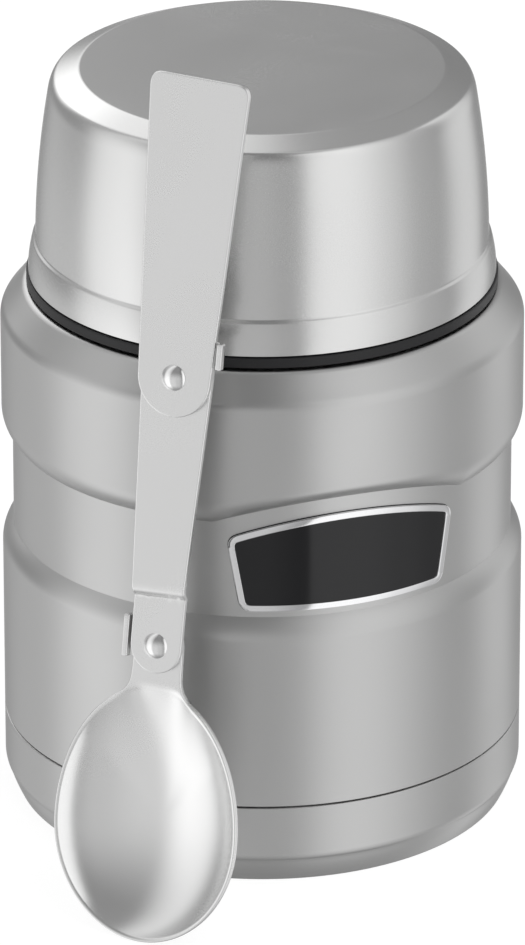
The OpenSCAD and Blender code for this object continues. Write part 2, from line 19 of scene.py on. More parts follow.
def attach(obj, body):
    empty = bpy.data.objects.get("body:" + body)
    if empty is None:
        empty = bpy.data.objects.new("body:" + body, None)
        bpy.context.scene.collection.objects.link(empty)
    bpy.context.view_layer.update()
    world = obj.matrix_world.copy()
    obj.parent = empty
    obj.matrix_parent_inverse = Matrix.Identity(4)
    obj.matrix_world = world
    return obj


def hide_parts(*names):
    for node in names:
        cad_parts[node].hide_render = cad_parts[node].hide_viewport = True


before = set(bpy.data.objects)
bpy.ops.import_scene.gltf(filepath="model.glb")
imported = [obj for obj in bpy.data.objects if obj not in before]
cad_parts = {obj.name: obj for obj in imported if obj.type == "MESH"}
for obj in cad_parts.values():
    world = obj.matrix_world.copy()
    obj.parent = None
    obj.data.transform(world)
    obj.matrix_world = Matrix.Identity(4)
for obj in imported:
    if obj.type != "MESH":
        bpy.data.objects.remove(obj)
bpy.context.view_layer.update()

logging.basicConfig(level=logging.INFO, format="%(message)s")
log = logging.getLogger("food_jar")

MM = 0.001
SAME_PLACE = 0.005
WELD = 0.001
SHARP_DEG = 32.0
PICTURE_SIZE = (525, 945)

Point = tuple[float, float]
Place = tuple[float, float, float]
Colour = tuple[float, float, float]
Outline = list[Point]
Faces = list[Sequence[int]]
Form = Callable[[float, float, float], Place]


class Body(Enum):
    """The bodies that move by themselves."""

    JAR = "jar"
    STOPPER = "stopper"
    STOPPER_RING = "stopper_ring"
    LID = "lid"
    LID_RING = "lid_ring"
    SPOON_BOWL = "spoon_bowl"
    SPOON_LINK = "spoon_link"
    SPOON_HANDLE = "spoon_handle"


class Brush(Enum):
    """The way that the fine marks of a finish run."""

    ROUND = "round the axis"
    BLASTED = "no direction"


# ---- curves ----


def mix(a: float, b: float, t: float) -> float:
    """Returns the value a share t of the way from a to b."""
    return a + (b - a) * t


def smooth_step(low: float, high: float, x: float) -> float:
    """Returns 0 below low, 1 above high and a smooth rise between them."""
    t = min(max((x - low) / (high - low), 0.0), 1.0)
    return t * t * (3 - 2 * t)


def bezier(start: Point, pull: Point, end: Point, steps: int = 8) -> Outline:
    """Makes a curve that leaves its start and reaches its end towards one pulling point.

    Args:
        start: First point.
        pull: Point that both ends head for.
        end: Last point.
        steps: Number of stretches.

    Returns:
        The curve's points, both ends with them.
    """
    curve = []
    for i in range(steps + 1):
        t = i / steps
        a, c, b = (1 - t) ** 2, 2 * t * (1 - t), t * t
        curve.append((a * start[0] + c * pull[0] + b * end[0], a * start[1] + c * pull[1] + b * end[1]))
    return curve


def arc(centre: Point, radius: float, start_deg: float, end_deg: float, steps: int,
        stretch: float = 1.0) -> Outline:
    """Makes an arc, with angles that run anticlockwise from the first axis.

    Args:
        centre: Its middle.
        radius: Its radius.
        start_deg: Angle of its first point.
        end_deg: Angle of its last point.
        steps: Number of stretches.
        stretch: Its height as a share of its width.

    Returns:
        The arc's points, both ends with them.
    """
    turns = [math.radians(mix(start_deg, end_deg, i / steps)) for i in range(steps + 1)]
    return [(centre[0] + radius * math.cos(t), centre[1] + radius * stretch * math.sin(t)) for t in turns]


def rounded(before: Point, corner: Point, after: Point, size: float, steps: int = 4) -> Outline:
    """Rounds a corner.

    Args:
        before: Point before the corner.
        corner: The corner.
        after: Point after the corner.
        size: Distance from the corner at which the rounding starts and ends.
        steps: Number of stretches.

    Returns:
        The points of the rounding.
    """
    q = Vector(corner)
    start = q + (Vector(before) - q).normalized() * size
    end = q + (Vector(after) - q).normalized() * size
    return bezier(tuple(start), corner, tuple(end), steps)


def soft_outline(corners: Sequence[tuple[float, float, float]], steps: int = 4) -> Outline:
    """Makes a closed outline from corners with roundings of their own.

    Args:
        corners: Two coordinates and the rounding's size for each corner.
        steps: Number of stretches in each rounding.

    Returns:
        The outline's points.
    """
    outline: Outline = []
    for i, (x, y, size) in enumerate(corners):
        before, after = corners[i - 1][:2], corners[(i + 1) % len(corners)][:2]
        outline += [(x, y)] if size == 0 else rounded(before, (x, y), after, size, steps)
    return outline


def bowed(start: Point, end: Point, bow: float, steps: int = 10) -> Outline:
    """Makes a line that bows outwards by a given rise.

    Args:
        start: First point.
        end: Last point.
        bow: Rise of the line's middle in the first coordinate.
        steps: Number of stretches.

    Returns:
        The line's points.
    """
    shares = [i / steps for i in range(steps + 1)]
    return [(mix(start[0], end[0], t) + 4 * bow * t * (1 - t), mix(start[1], end[1], t)) for t in shares]


def beside(path: Sequence[Point], gap: float) -> Outline:
    """Moves a path to its left.

    Args:
        path: Points of the path.
        gap: Distance to move; a negative one moves the path to its right.

    Returns:
        The moved points, with mitred corners.
    """

    def left(i: int, j: int) -> Vector:
        """Returns the unit vector to the left of the stretch from one point to the next."""
        d = Vector(path[j]) - Vector(path[i])
        return Vector((-d.y, d.x)).normalized()

    last = len(path) - 1
    moved = []
    for i, p in enumerate(path):
        mitre = left(max(i - 1, 0), max(i, 1)) + left(min(i, last - 1), min(i + 1, last))
        q = Vector(p) + mitre * (2 * gap / mitre.length_squared)
        moved.append((q.x, q.y))
    return moved


def inset(outline: Sequence[Point], gap: float) -> Outline:
    """Moves a closed outline inwards; its points run anticlockwise."""
    return beside([outline[-1], *outline, outline[0]], gap)[1:-1]


def thinned(path: Iterable[Point]) -> Outline:
    """Leaves out points that lie on the one before.

    Args:
        path: Points of the path.

    Returns:
        The points that are left.
    """
    kept: Outline = []
    for p in path:
        if not kept or math.dist(p, kept[-1]) > SAME_PLACE:
            kept.append(p)
    return kept


def divided(outline: Sequence[Point], step: float = 1.0) -> Outline:
    """Puts points on the long stretches of a closed outline.

    Args:
        outline: Points of the outline.
        step: Greatest distance between the points.

    Returns:
        The outline with the new points.
    """
    points: Outline = []
    for a, b in zip(outline, [*outline[1:], outline[0]]):
        parts = max(1, math.ceil(math.dist(a, b) / step))
        points += [(mix(a[0], b[0], i / parts), mix(a[1], b[1], i / parts)) for i in range(parts)]
    return points


def is_inside(outline: Sequence[Point], p: Point) -> bool:
    """Tells whether a point lies in a closed outline.

    Args:
        outline: Points of the outline.
        p: The point.

    Returns:
        True if it lies inside.
    """
    inside = False
    for (x0, y0), (x1, y1) in zip(outline, [*outline[1:], outline[0]]):
        if (y0 > p[1]) != (y1 > p[1]) and p[0] < x0 + (p[1] - y0) * (x1 - x0) / (y1 - y0):
            inside = not inside
    return inside


# ---- meshes ----


def make_mesh(name: str, points: Sequence[Place], faces: Sequence[Sequence[int]],
              place: Matrix | None = None, sharp_deg: float = SHARP_DEG,
              normals: Sequence[Vector] | None = None) -> bpy.types.Object:
    """Makes a smooth-shaded mesh object in metres.

    Args:
        name: The piece's name.
        points: Points in millimetres.
        faces: Indices of each face's points.
        place: Where the points go in the part's frame, in millimetres.
        sharp_deg: Edges that turn by more than this stay sharp.
        normals: Normal at each point, for a shape that knows its own.

    Returns:
        The new object.
    """
    place = place or Matrix.Identity(4)
    mesh = bpy.data.meshes.new(name)
    mesh.from_pydata([(place @ Vector(p)) * MM for p in points], [], faces)
    piece = bpy.data.objects.new(name, mesh)
    bpy.context.scene.collection.objects.link(piece)
    if normals:
        mesh.shade_smooth()
        turn = place.to_3x3()
        mesh.normals_split_custom_set_from_vertices([turn @ n for n in normals])
        return piece
    shape = bmesh.new()
    shape.from_mesh(mesh)
    bmesh.ops.remove_doubles(shape, verts=shape.verts, dist=WELD * MM)
    bmesh.ops.recalc_face_normals(shape, faces=shape.faces)
    shape.to_mesh(mesh)
    shape.free()
    mesh.shade_smooth()
    mesh.set_sharp_from_angle(angle=math.radians(sharp_deg))
    even = piece.modifiers.new("Even shading", "WEIGHTED_NORMAL")
    even.keep_sharp = True
    return piece


def joined(name: str, pieces: Sequence[bpy.types.Object]) -> bpy.types.Object:
    """Joins pieces into the first of them.

    Args:
        name: Name of the joined piece.
        pieces: Objects to join.

    Returns:
        The joined object.
    """
    with bpy.context.temp_override(active_object=pieces[0], selected_editable_objects=list(pieces)):
        bpy.ops.object.join()
    pieces[0].name = name
    return pieces[0]


def bands(rings: int, count: int, closed: bool = False) -> Faces:
    """Joins rings of points, one after the other, with bands of four-cornered faces.

    Args:
        rings: Number of rings.
        count: Number of points in each ring.
        closed: Whether the last ring is joined to the first.

    Returns:
        The faces.
    """
    faces: Faces = []
    for k in range(rings if closed else rings - 1):
        a, b = k * count, (k + 1) % rings * count
        faces += [(a + i, a + (i + 1) % count, b + (i + 1) % count, b + i) for i in range(count)]
    return faces


def turned(name: str, outline: Outline | Callable[[float], Outline], segments: int = 192,
           place: Matrix | None = None, sharp_deg: float = SHARP_DEG) -> bpy.types.Object:
    """Turns a closed outline of radius and height round an axis.

    Args:
        name: The piece's name.
        outline: The outline, or a function that gives it for an azimuth in radians.
        segments: Number of steps round the axis.
        place: Where the axis goes in the part's frame.
        sharp_deg: Edges that turn by more than this stay sharp.

    Returns:
        The new object.
    """
    points: list[Place] = []
    for i in range(segments):
        azimuth = 2 * math.pi * i / segments
        here = outline(azimuth) if callable(outline) else outline
        s, c = math.sin(azimuth), math.cos(azimuth)
        points += [(r * s, -r * c, z) for r, z in here]
    faces = bands(segments, len(points) // segments, closed=True)
    return make_mesh(name, points, faces, place, sharp_deg)


def pressed_sheet(name: str, blank: Outline, inner: Sequence[Point], form: Form, thickness: float,
                  edge: float, place: Matrix) -> bpy.types.Object:
    """Makes a piece that is pressed from sheet, with soft edges.

    Args:
        name: The piece's name.
        blank: Outline of the flat blank, anticlockwise.
        inner: Points inside the blank that carry its form.
        form: Gives the place of a point of the blank at a height in the sheet.
        thickness: Thickness of the sheet.
        edge: Rounding of the sheet's edges.
        place: Where the piece goes in the part's frame.

    Returns:
        The new object.
    """
    edge_steps, probe, room = 4, 0.01, 0.2

    def slope(a: float, b: float, t: float, along: Point) -> Vector:
        """Returns the unit vector that the form gives to a direction in the blank."""
        x, y = along[0] * probe, along[1] * probe
        return (Vector(form(a + x, b + y, t)) - Vector(form(a - x, b - y, t))).normalized()

    def normal(a: float, b: float, t: float) -> Vector:
        """Returns the sheet's upward normal."""
        return slope(a, b, t, (1, 0)).cross(slope(a, b, t, (0, 1))).normalized()

    face_line = inset(blank, edge)
    clear = inset(blank, edge + room)
    chosen = [p for p in inner if is_inside(clear, p)]
    flat = [Vector(p) for p in [*face_line, *chosen]]
    count = len(face_line)
    loop = [(i, (i + 1) % count) for i in range(count)]
    verts, _, tris, sources, _, _ = delaunay_2d_cdt(flat, loop, [], 1, 1e-5)
    index = {source: i for i, found in enumerate(sources) for source in found}
    points: list[Place] = [form(v.x, v.y, thickness) for v in verts]
    points += [form(v.x, v.y, 0) for v in verts]
    normals = [normal(v.x, v.y, thickness) for v in verts]
    normals += [-normal(v.x, v.y, 0) for v in verts]
    faces: Faces = [tuple(t) for t in tris]
    faces += [tuple(len(verts) + i for i in reversed(t)) for t in tris]
    outward = [(p[0] - q[0], p[1] - q[1]) for p, q in zip(blank, inset(blank, 1.0))]
    turns = [math.pi / 2 * k / edge_steps for k in range(1, edge_steps + 1)]
    rows = [(turn, thickness - edge * (1 - math.cos(turn))) for turn in turns]
    rows += [(math.pi - turn, edge * (1 - math.cos(turn))) for turn in reversed(turns)]
    above = [index[i] for i in range(count)]
    for turn, height in rows:
        start = len(points)
        ring = inset(blank, edge * (1 - math.sin(turn)))
        points += [form(a, b, height) for a, b in ring]
        for (a, b), out in zip(ring, outward):
            level = slope(a, b, height, out) * math.sin(turn)
            normals.append((normal(a, b, height) * math.cos(turn) + level).normalized())
        here = [start + i for i in range(count)]
        faces += [(above[i], here[i], here[j], above[j]) for i, j in loop]
        above = here
    below = [len(verts) + index[i] for i in range(count)]
    faces += [(above[i], below[i], below[j], above[j]) for i, j in loop]
    return make_mesh(name, points, faces, place, normals=normals)


# ---- shader nodes ----


# The value and result sockets of a Mix node, for each kind of data.
MIX_SOCKETS = {"FLOAT": (2, 3, 0), "VECTOR": (4, 5, 1), "RGBA": (6, 7, 2)}


class Nodes:
    """Adds and links the nodes of one tree."""

    def __init__(self, tree: bpy.types.NodeTree) -> None:
        """Keeps the tree and empties it."""
        self.tree = tree
        tree.nodes.clear()

    def add(self, kind: str, inputs: dict[str | int, object] | None = None,
            **settings: object) -> bpy.types.Node:
        """Adds a node.

        Args:
            kind: The node's type.
            inputs: What goes into its sockets: a value, or an output socket to link.
            settings: Properties to set on it.

        Returns:
            The new node.
        """
        node = self.tree.nodes.new(kind)
        for key, value in settings.items():
            setattr(node, key, value)
        for key, value in (inputs or {}).items():
            if isinstance(value, bpy.types.NodeSocket):
                self.tree.links.new(value, node.inputs[key])
            else:
                node.inputs[key].default_value = value
        return node

    def math(self, operation: str, *values: object) -> bpy.types.NodeSocket:
        """Adds a Math node for an operation on numbers or sockets and gives its output socket."""
        return self.add("ShaderNodeMath", dict(enumerate(values)), operation=operation).outputs[0]

    def vector(self, operation: str, *values: object) -> bpy.types.NodeSocket:
        """Adds a Vector Math node and gives its output: a number for a dot product, otherwise a vector."""
        result = "Value" if operation == "DOT_PRODUCT" else "Vector"
        return self.add("ShaderNodeVectorMath", dict(enumerate(values)), operation=operation).outputs[result]

    def mix(self, kind: str, factor: object, first: object, second: object) -> bpy.types.NodeSocket:
        """Adds a Mix node for a kind of data, with the share of the second value as its factor."""
        a, b, result = MIX_SOCKETS[kind]
        return self.add("ShaderNodeMix", {0: factor, a: first, b: second}, data_type=kind).outputs[result]

    def ramp(self, value: bpy.types.NodeSocket, low: object, high: object, to_low: object = 0.0,
             to_high: object = 1.0, smooth: bool = False) -> bpy.types.NodeSocket:
        """Adds a Map Range node.

        Args:
            value: Output socket to map.
            low: Start of its range.
            high: End of its range.
            to_low: What the start becomes.
            to_high: What the end becomes.
            smooth: Whether the change eases in and out.

        Returns:
            Its output socket.
        """
        inputs = {0: value, 1: low, 2: high, 3: to_low, 4: to_high}
        kind = "SMOOTHSTEP" if smooth else "LINEAR"
        return self.add("ShaderNodeMapRange", inputs, interpolation_type=kind).outputs[0]

    def noise(self, place: bpy.types.NodeSocket, size: object, detail: float = 2.0,
              **others: float) -> bpy.types.NodeSocket:
        """Adds a Noise node.

        Args:
            place: Where it is read.
            size: Its scale.
            detail: Its levels of detail.
            others: Values of its other inputs.

        Returns:
            Its output socket.
        """
        inputs = {"Vector": place, "Scale": size, "Detail": detail}
        inputs |= {key.capitalize(): value for key, value in others.items()}
        return self.add("ShaderNodeTexNoise", inputs).outputs[0]

    def group(self, tree: bpy.types.NodeTree, **inputs: object) -> bpy.types.NodeSocket:
        """Adds a node group; its inputs are named in small letters, with underscores for spaces."""
        named = {key.capitalize().replace("_", " "): value for key, value in inputs.items()}
        return self.add("ShaderNodeGroup", named, node_tree=tree).outputs[0]


def start_group(name: str, inputs: Sequence[str], output: str,
                vectors: Sequence[str] = ()) -> tuple[Nodes, bpy.types.NodeOutputs]:
    """Starts a node group that puts out one number.

    Args:
        name: The group's name.
        inputs: Names of its inputs that are numbers.
        output: Name of its output.
        vectors: Names of its inputs that are vectors.

    Returns:
        The group's nodes and what it is given.
    """
    tree = bpy.data.node_groups.new(name, "ShaderNodeTree")
    for key in vectors:
        tree.interface.new_socket(name=key, in_out="INPUT", socket_type="NodeSocketVector")
    for key in inputs:
        tree.interface.new_socket(name=key, in_out="INPUT", socket_type="NodeSocketFloat")
    tree.interface.new_socket(name=output, in_out="OUTPUT", socket_type="NodeSocketFloat")
    nodes = Nodes(tree)
    return nodes, nodes.add("NodeGroupInput").outputs


def finish_group(nodes: Nodes, value: bpy.types.NodeSocket) -> bpy.types.NodeTree:
    """Links a value to the group's output and returns the group's tree."""
    nodes.add("NodeGroupOutput", {0: value})
    return nodes.tree


class Effects:
    """The effects that several finishes share, each made once as a node group."""

    def __init__(self) -> None:
        """Makes every group."""
        self.grain = self._grain()
        self.clouds = self._clouds()
        self.skin = self._skin()
        self.soft_box = self._soft_box()

    def _grain(self) -> bpy.types.NodeTree:
        """Makes the fine marks of brushing or blasting, finer across them than along them.

        Returns:
            The group, whose output is the height of the marks.
        """
        mean_radius = 0.045
        nodes, given = start_group("Fine grain", ("Across", "Along", "Turned"), "Grain")
        across, along = given["Across"], given["Along"]
        place = nodes.add("ShaderNodeTexCoord").outputs["Object"]
        x, y, z = nodes.add("ShaderNodeSeparateXYZ", {0: place}).outputs
        squares = nodes.math("ADD", nodes.math("MULTIPLY", x, x), nodes.math("MULTIPLY", y, y))
        radius = nodes.math("SQRT", squares)
        azimuth = nodes.math("ARCTAN2", x, nodes.math("MULTIPLY", y, -1.0))
        turned_place = nodes.add("ShaderNodeCombineXYZ", {
            0: nodes.math("MULTIPLY", radius, across),
            1: nodes.math("MULTIPLY", azimuth, nodes.math("MULTIPLY", along, mean_radius)),
            2: nodes.math("MULTIPLY", z, across)}).outputs[0]
        straight_place = nodes.add("ShaderNodeCombineXYZ", {
            0: nodes.math("MULTIPLY", x, across),
            1: nodes.math("MULTIPLY", y, across),
            2: nodes.math("MULTIPLY", z, along)}).outputs[0]
        chosen = nodes.mix("VECTOR", given["Turned"], straight_place, turned_place)
        noise = nodes.noise(chosen, 1.0, 3.0, roughness=0.6)
        return finish_group(nodes, nodes.ramp(noise, 0.3, 0.7))

    def _clouds(self) -> bpy.types.NodeTree:
        """Makes the broad, faint change of gloss that handling and polishing leave.

        Returns:
            The group, whose output is the mask.
        """
        nodes, given = start_group("Clouds", ("Size",), "Cloud")
        place = nodes.add("ShaderNodeTexCoord").outputs["Object"]
        noise = nodes.noise(place, given["Size"], distortion=0.4)
        return finish_group(nodes, nodes.ramp(noise, 0.35, 0.65, smooth=True))

    def _skin(self) -> bpy.types.NodeTree:
        """Makes the pebbled skin of a moulded piece.

        Returns:
            The group, whose output is the height of the skin.
        """
        nodes, given = start_group("Moulded skin", ("Size",), "Height")
        place = nodes.add("ShaderNodeTexCoord").outputs["Object"]
        inputs = {"Vector": place, "Scale": given["Size"], "Smoothness": 0.7}
        cells = nodes.add("ShaderNodeTexVoronoi", inputs, feature="SMOOTH_F1").outputs[0]
        noise = nodes.noise(place, given["Size"])
        return finish_group(nodes, nodes.math("ADD", cells, nodes.math("MULTIPLY", noise, 0.5)))

    def _soft_box(self) -> bpy.types.NodeTree:
        """Makes the light that one soft box sends from a direction.

        Returns:
            The group, whose output is the light.
        """
        screen_edge = 0.02
        nodes, given = start_group(
            "Soft box", ("Side cosine", "Low", "Low full", "High full", "High", "Kept", "Strength"), "Light",
            ("Direction", "Toward", "Screen"))
        flat = nodes.vector("MULTIPLY", given["Direction"], (1.0, 1.0, 0.0))
        level = nodes.vector("NORMALIZE", flat)
        cosine = nodes.vector("DOT_PRODUCT", level, given["Toward"])
        past = nodes.vector("DOT_PRODUCT", level, given["Screen"])
        sideways = nodes.math("MULTIPLY", nodes.ramp(cosine, given["Side cosine"], 1.0, smooth=True),
                              nodes.ramp(past, 0.0, screen_edge))
        height = nodes.add("ShaderNodeSeparateXYZ", {0: given["Direction"]}).outputs[2]
        rise = nodes.ramp(height, given["Low"], given["Low full"], smooth=True)
        fall = nodes.ramp(height, given["High full"], given["High"], 1.0, given["Kept"], smooth=True)
        upright = nodes.math("MULTIPLY", fall, given["Strength"])
        return finish_group(nodes, nodes.math("MULTIPLY", nodes.math("MULTIPLY", sideways, rise), upright))


# ---- finishes ----


def start_material(name: str) -> Nodes:
    """Starts a material that uses nodes.

    Args:
        name: Name of the material.

    Returns:
        The writer of its nodes.
    """
    material = bpy.data.materials.new(name)
    material.use_nodes = True
    return Nodes(material.node_tree)


def finish_material(nodes: Nodes, shader: bpy.types.Node, name: str) -> bpy.types.Material:
    """Links a shader to the material's output and returns the material."""
    nodes.add("ShaderNodeOutputMaterial", {0: shader.outputs[0]})
    return bpy.data.materials[name]


@dataclass(frozen=True)
class Finish:
    """What every finish has.

    Attributes:
        name: The material's name.
        colour: Its colour, for metal that of its reflections.
        roughness: Middle roughness.
        bump: Depth of the marks or pebbles in metres.
        cloud: Change of roughness in broad clouds.
        tint: Change of colour over the marks or pebbles.
    """

    name: str
    colour: Colour
    roughness: float
    bump: float = 0.0
    cloud: float = 0.02
    tint: float = 0.03

    def _coloured(self, nodes: Nodes, mask: bpy.types.NodeSocket) -> bpy.types.NodeSocket:
        """Adds the colour, a little darker or lighter by a mask.

        Args:
            nodes: Writer of the material's nodes.
            mask: Mask, dark at 0 and light at 1.

        Returns:
            The socket that gives the colour.
        """
        dark = tuple(c * (1 - self.tint) for c in self.colour)
        light = tuple(min(c * (1 + self.tint), 1.0) for c in self.colour)
        return nodes.mix("RGBA", mask, (*dark, 1.0), (*light, 1.0))

    def _shaded(self, nodes: Nodes, height: bpy.types.NodeSocket,
                inputs: dict[str, object]) -> bpy.types.Material:
        """Adds the shader with its bump and finishes the material.

        Args:
            nodes: The material's nodes.
            height: Height of the marks or pebbles.
            inputs: What goes into the shader's sockets.

        Returns:
            The material.
        """
        shader = nodes.add("ShaderNodeBsdfPrincipled", inputs)
        if self.bump:
            bump = nodes.add("ShaderNodeBump", {"Strength": 1.0, "Distance": self.bump, "Height": height})
            nodes.tree.links.new(bump.outputs[0], shader.inputs["Normal"])
        return finish_material(nodes, shader, self.name)


@dataclass(frozen=True)
class Metal(Finish):
    """A metal finish.

    Attributes:
        brush: The way that its fine marks run.
        across: Marks in a metre across them.
        along: Marks in a metre along them.
        grain: Change of roughness in the marks.
    """

    brush: Brush = Brush.BLASTED
    across: float = 4000
    along: float = 60
    grain: float = 0.05

    def make(self, effects: Effects) -> bpy.types.Material:
        """Makes the material with the shared node groups.

        Args:
            effects: Node groups that the materials share.

        Returns:
            The finished material.
        """
        cloud_size = 28.0
        nodes = start_material(self.name)
        is_turned = self.brush is Brush.ROUND
        along = self.along if is_turned else self.across
        grain = nodes.group(effects.grain, across=self.across, along=along, turned=float(is_turned))
        cloud = nodes.group(effects.clouds, size=cloud_size)
        marks = nodes.ramp(grain, 0.0, 1.0, self.roughness - self.grain, self.roughness + self.grain)
        rough = nodes.math("ADD", marks, nodes.ramp(cloud, 0.0, 1.0, -self.cloud, self.cloud))
        return self._shaded(nodes, grain, {
            "Base Color": self._coloured(nodes, grain), "Metallic": 1.0, "Roughness": rough})


@dataclass(frozen=True)
class Moulding(Finish):
    """A finish of moulded plastic, rubber or foam.

    Attributes:
        skin: Pebbles in a metre.
        specular: Strength of its plain reflection.
    """

    bump: float = 0.00002
    cloud: float = 0.04
    tint: float = 0.08
    skin: float = 2500
    specular: float = 0.5

    def make(self, effects: Effects) -> bpy.types.Material:
        """Makes the material with the shared node groups.

        Args:
            effects: Node groups that the materials share.

        Returns:
            The finished material.
        """
        cloud_size = 35.0
        nodes = start_material(self.name)
        skin = nodes.group(effects.skin, size=self.skin)
        cloud = nodes.group(effects.clouds, size=cloud_size)
        rough = nodes.ramp(cloud, 0.0, 1.0, self.roughness - self.cloud, self.roughness + self.cloud)
        return self._shaded(nodes, skin, {
            "Base Color": self._coloured(nodes, skin), "Roughness": rough,
            "Specular IOR Level": self.specular})


FINISHES: dict[str, Metal | Moulding] = {
    "body_steel": Metal("Satin body steel", (0.500, 0.500, 0.498), 0.36, 0.0000012, across=9000, grain=0.04),
    "lid_steel": Metal("Polished lid steel", (0.62, 0.62, 0.617), 0.24, 0.0000008, across=9000, grain=0.03),
    "vessel_steel": Metal("Brushed vessel steel", (0.64, 0.64, 0.635), 0.28, 0.000004,
                          brush=Brush.ROUND, across=5000, grain=0.08),
    "getter_metal": Metal("Sintered getter metal", (0.34, 0.33, 0.31), 0.6, 0.00003, across=6000, grain=0.1),
    "port_solder": Metal("Port solder", (0.45, 0.45, 0.48), 0.42, 0.00002, across=1500, grain=0.1),
    "black_moulding": Moulding("Black moulded collar", (0.012, 0.012, 0.013), 0.42, specular=0.32),
    "badge_bright": Metal("Bright badge bezel", (0.78, 0.78, 0.79), 0.1, cloud=0.01, across=5000,
                          grain=0.02),
    "badge_black": Moulding("Black badge plate", (0.006, 0.006, 0.007), 0.12, 0.0, cloud=0.02, skin=900,
                            specular=0.36),
    "silicone": Moulding("Clear grey silicone", (0.62, 0.61, 0.57), 0.48, skin=3000),
    "stopper_black": Moulding("Black stopper moulding", (0.028, 0.028, 0.029), 0.46),
    "foam": Moulding("White insulating foam", (0.86, 0.85, 0.8), 0.85, 0.0003, tint=0.12, skin=900),
    "liner_dark": Moulding("Dark lid liner", (0.05, 0.05, 0.052), 0.4),
    "spoon_steel": Metal("Pressed spoon steel", (0.762, 0.762, 0.760), 0.28, 0.0000002, across=8000,
                         grain=0.012),
    "rivet_steel": Metal("Polished rivet steel", (0.8, 0.8, 0.8), 0.16, across=6000, grain=0.03),
}


class Workshop:
    """Dresses pieces with finishes and puts them on their bodies."""

    def __init__(self) -> None:
        """Makes every finish."""
        self.effects = Effects()
        self.materials = {slot: finish.make(self.effects) for slot, finish in FINISHES.items()}

    def dress(self, piece: bpy.types.Object, slot: str) -> None:
        """Gives a piece the material of a slot."""
        piece.data.materials.clear()
        piece.data.materials.append(self.materials[slot])

    def settle(self, piece: bpy.types.Object, body: Body, slot: str, node: str) -> None:
        """Dresses a piece that stands for a node and puts it on its body.

        Args:
            piece: The new piece.
            body: The body that it moves with.
            slot: The material slot of its finish.
            node: The node that it stands for.
        """
        self.dress(piece, slot)
        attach(piece, body.value)
        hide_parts(node)
        log.info("%s: %d faces, rides on %s", piece.name, len(piece.data.polygons), body.value)

    def keep(self, node: str, slot: str) -> None:
        """Dresses a node whose own shape shows, by its name, with the finish of a slot."""
        self.dress(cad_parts[node], slot)
        log.info("%s: kept, with %s", node, slot)


# ---- the jar ----


@dataclass
class JarSizes:
    """The sizes that the jar's pieces share.

    Attributes:
        band_r: Radius of the two bands.
        waist_r: Radius of the waist between them.
        waist_low: Height of the waist's lower edge.
        waist_top: Height of the waist's upper edge.
        body_h: Height of the shell at the black ring.
        rim_r: Radius of the shell's lip round the black ring.
        neck_r: Outside radius of the neck.
        mouth_r: Inside radius of the mouth.
        lip_z: Height of the mouth.
        shell_wall: Wall of the shell.
        vessel_wall: Wall of the inner vessel.
        base_h: Height of the seam over the foot.
        seam_gap: Width of the seam.
        badge_turn_deg: Azimuth of the badge.
        thread_low: Height at which the lid's thread starts.
        thread_pitch: Its rise in one turn.
        thread_start_deg: Azimuth at which it starts.
    """

    band_r: float = 47.25
    waist_r: float = 45.25
    waist_low: float = 52.3
    waist_top: float = 70.5
    body_h: float = 98.5
    rim_r: float = 42.4
    neck_r: float = 36.6
    mouth_r: float = 35.0
    lip_z: float = 111.9
    shell_wall: float = 0.6
    vessel_wall: float = 0.5
    base_h: float = 15.4
    seam_gap: float = 0.3
    badge_turn_deg: float = 20.0
    thread_low: float = 103.3
    thread_pitch: float = 3.6
    thread_start_deg: float = -100.0

    def on_waist(self, along: float, height: float, proud: float) -> Place:
        """Gives a place on or over the waist.

        Args:
            along: Distance along the waist from the badge's middle, to the right.
            height: Height over the foot.
            proud: Height over the waist's surface.

        Returns:
            The place.
        """
        azimuth = math.radians(self.badge_turn_deg) + along / self.waist_r
        r = self.waist_r + proud
        return r * math.sin(azimuth), -r * math.cos(azimuth), height


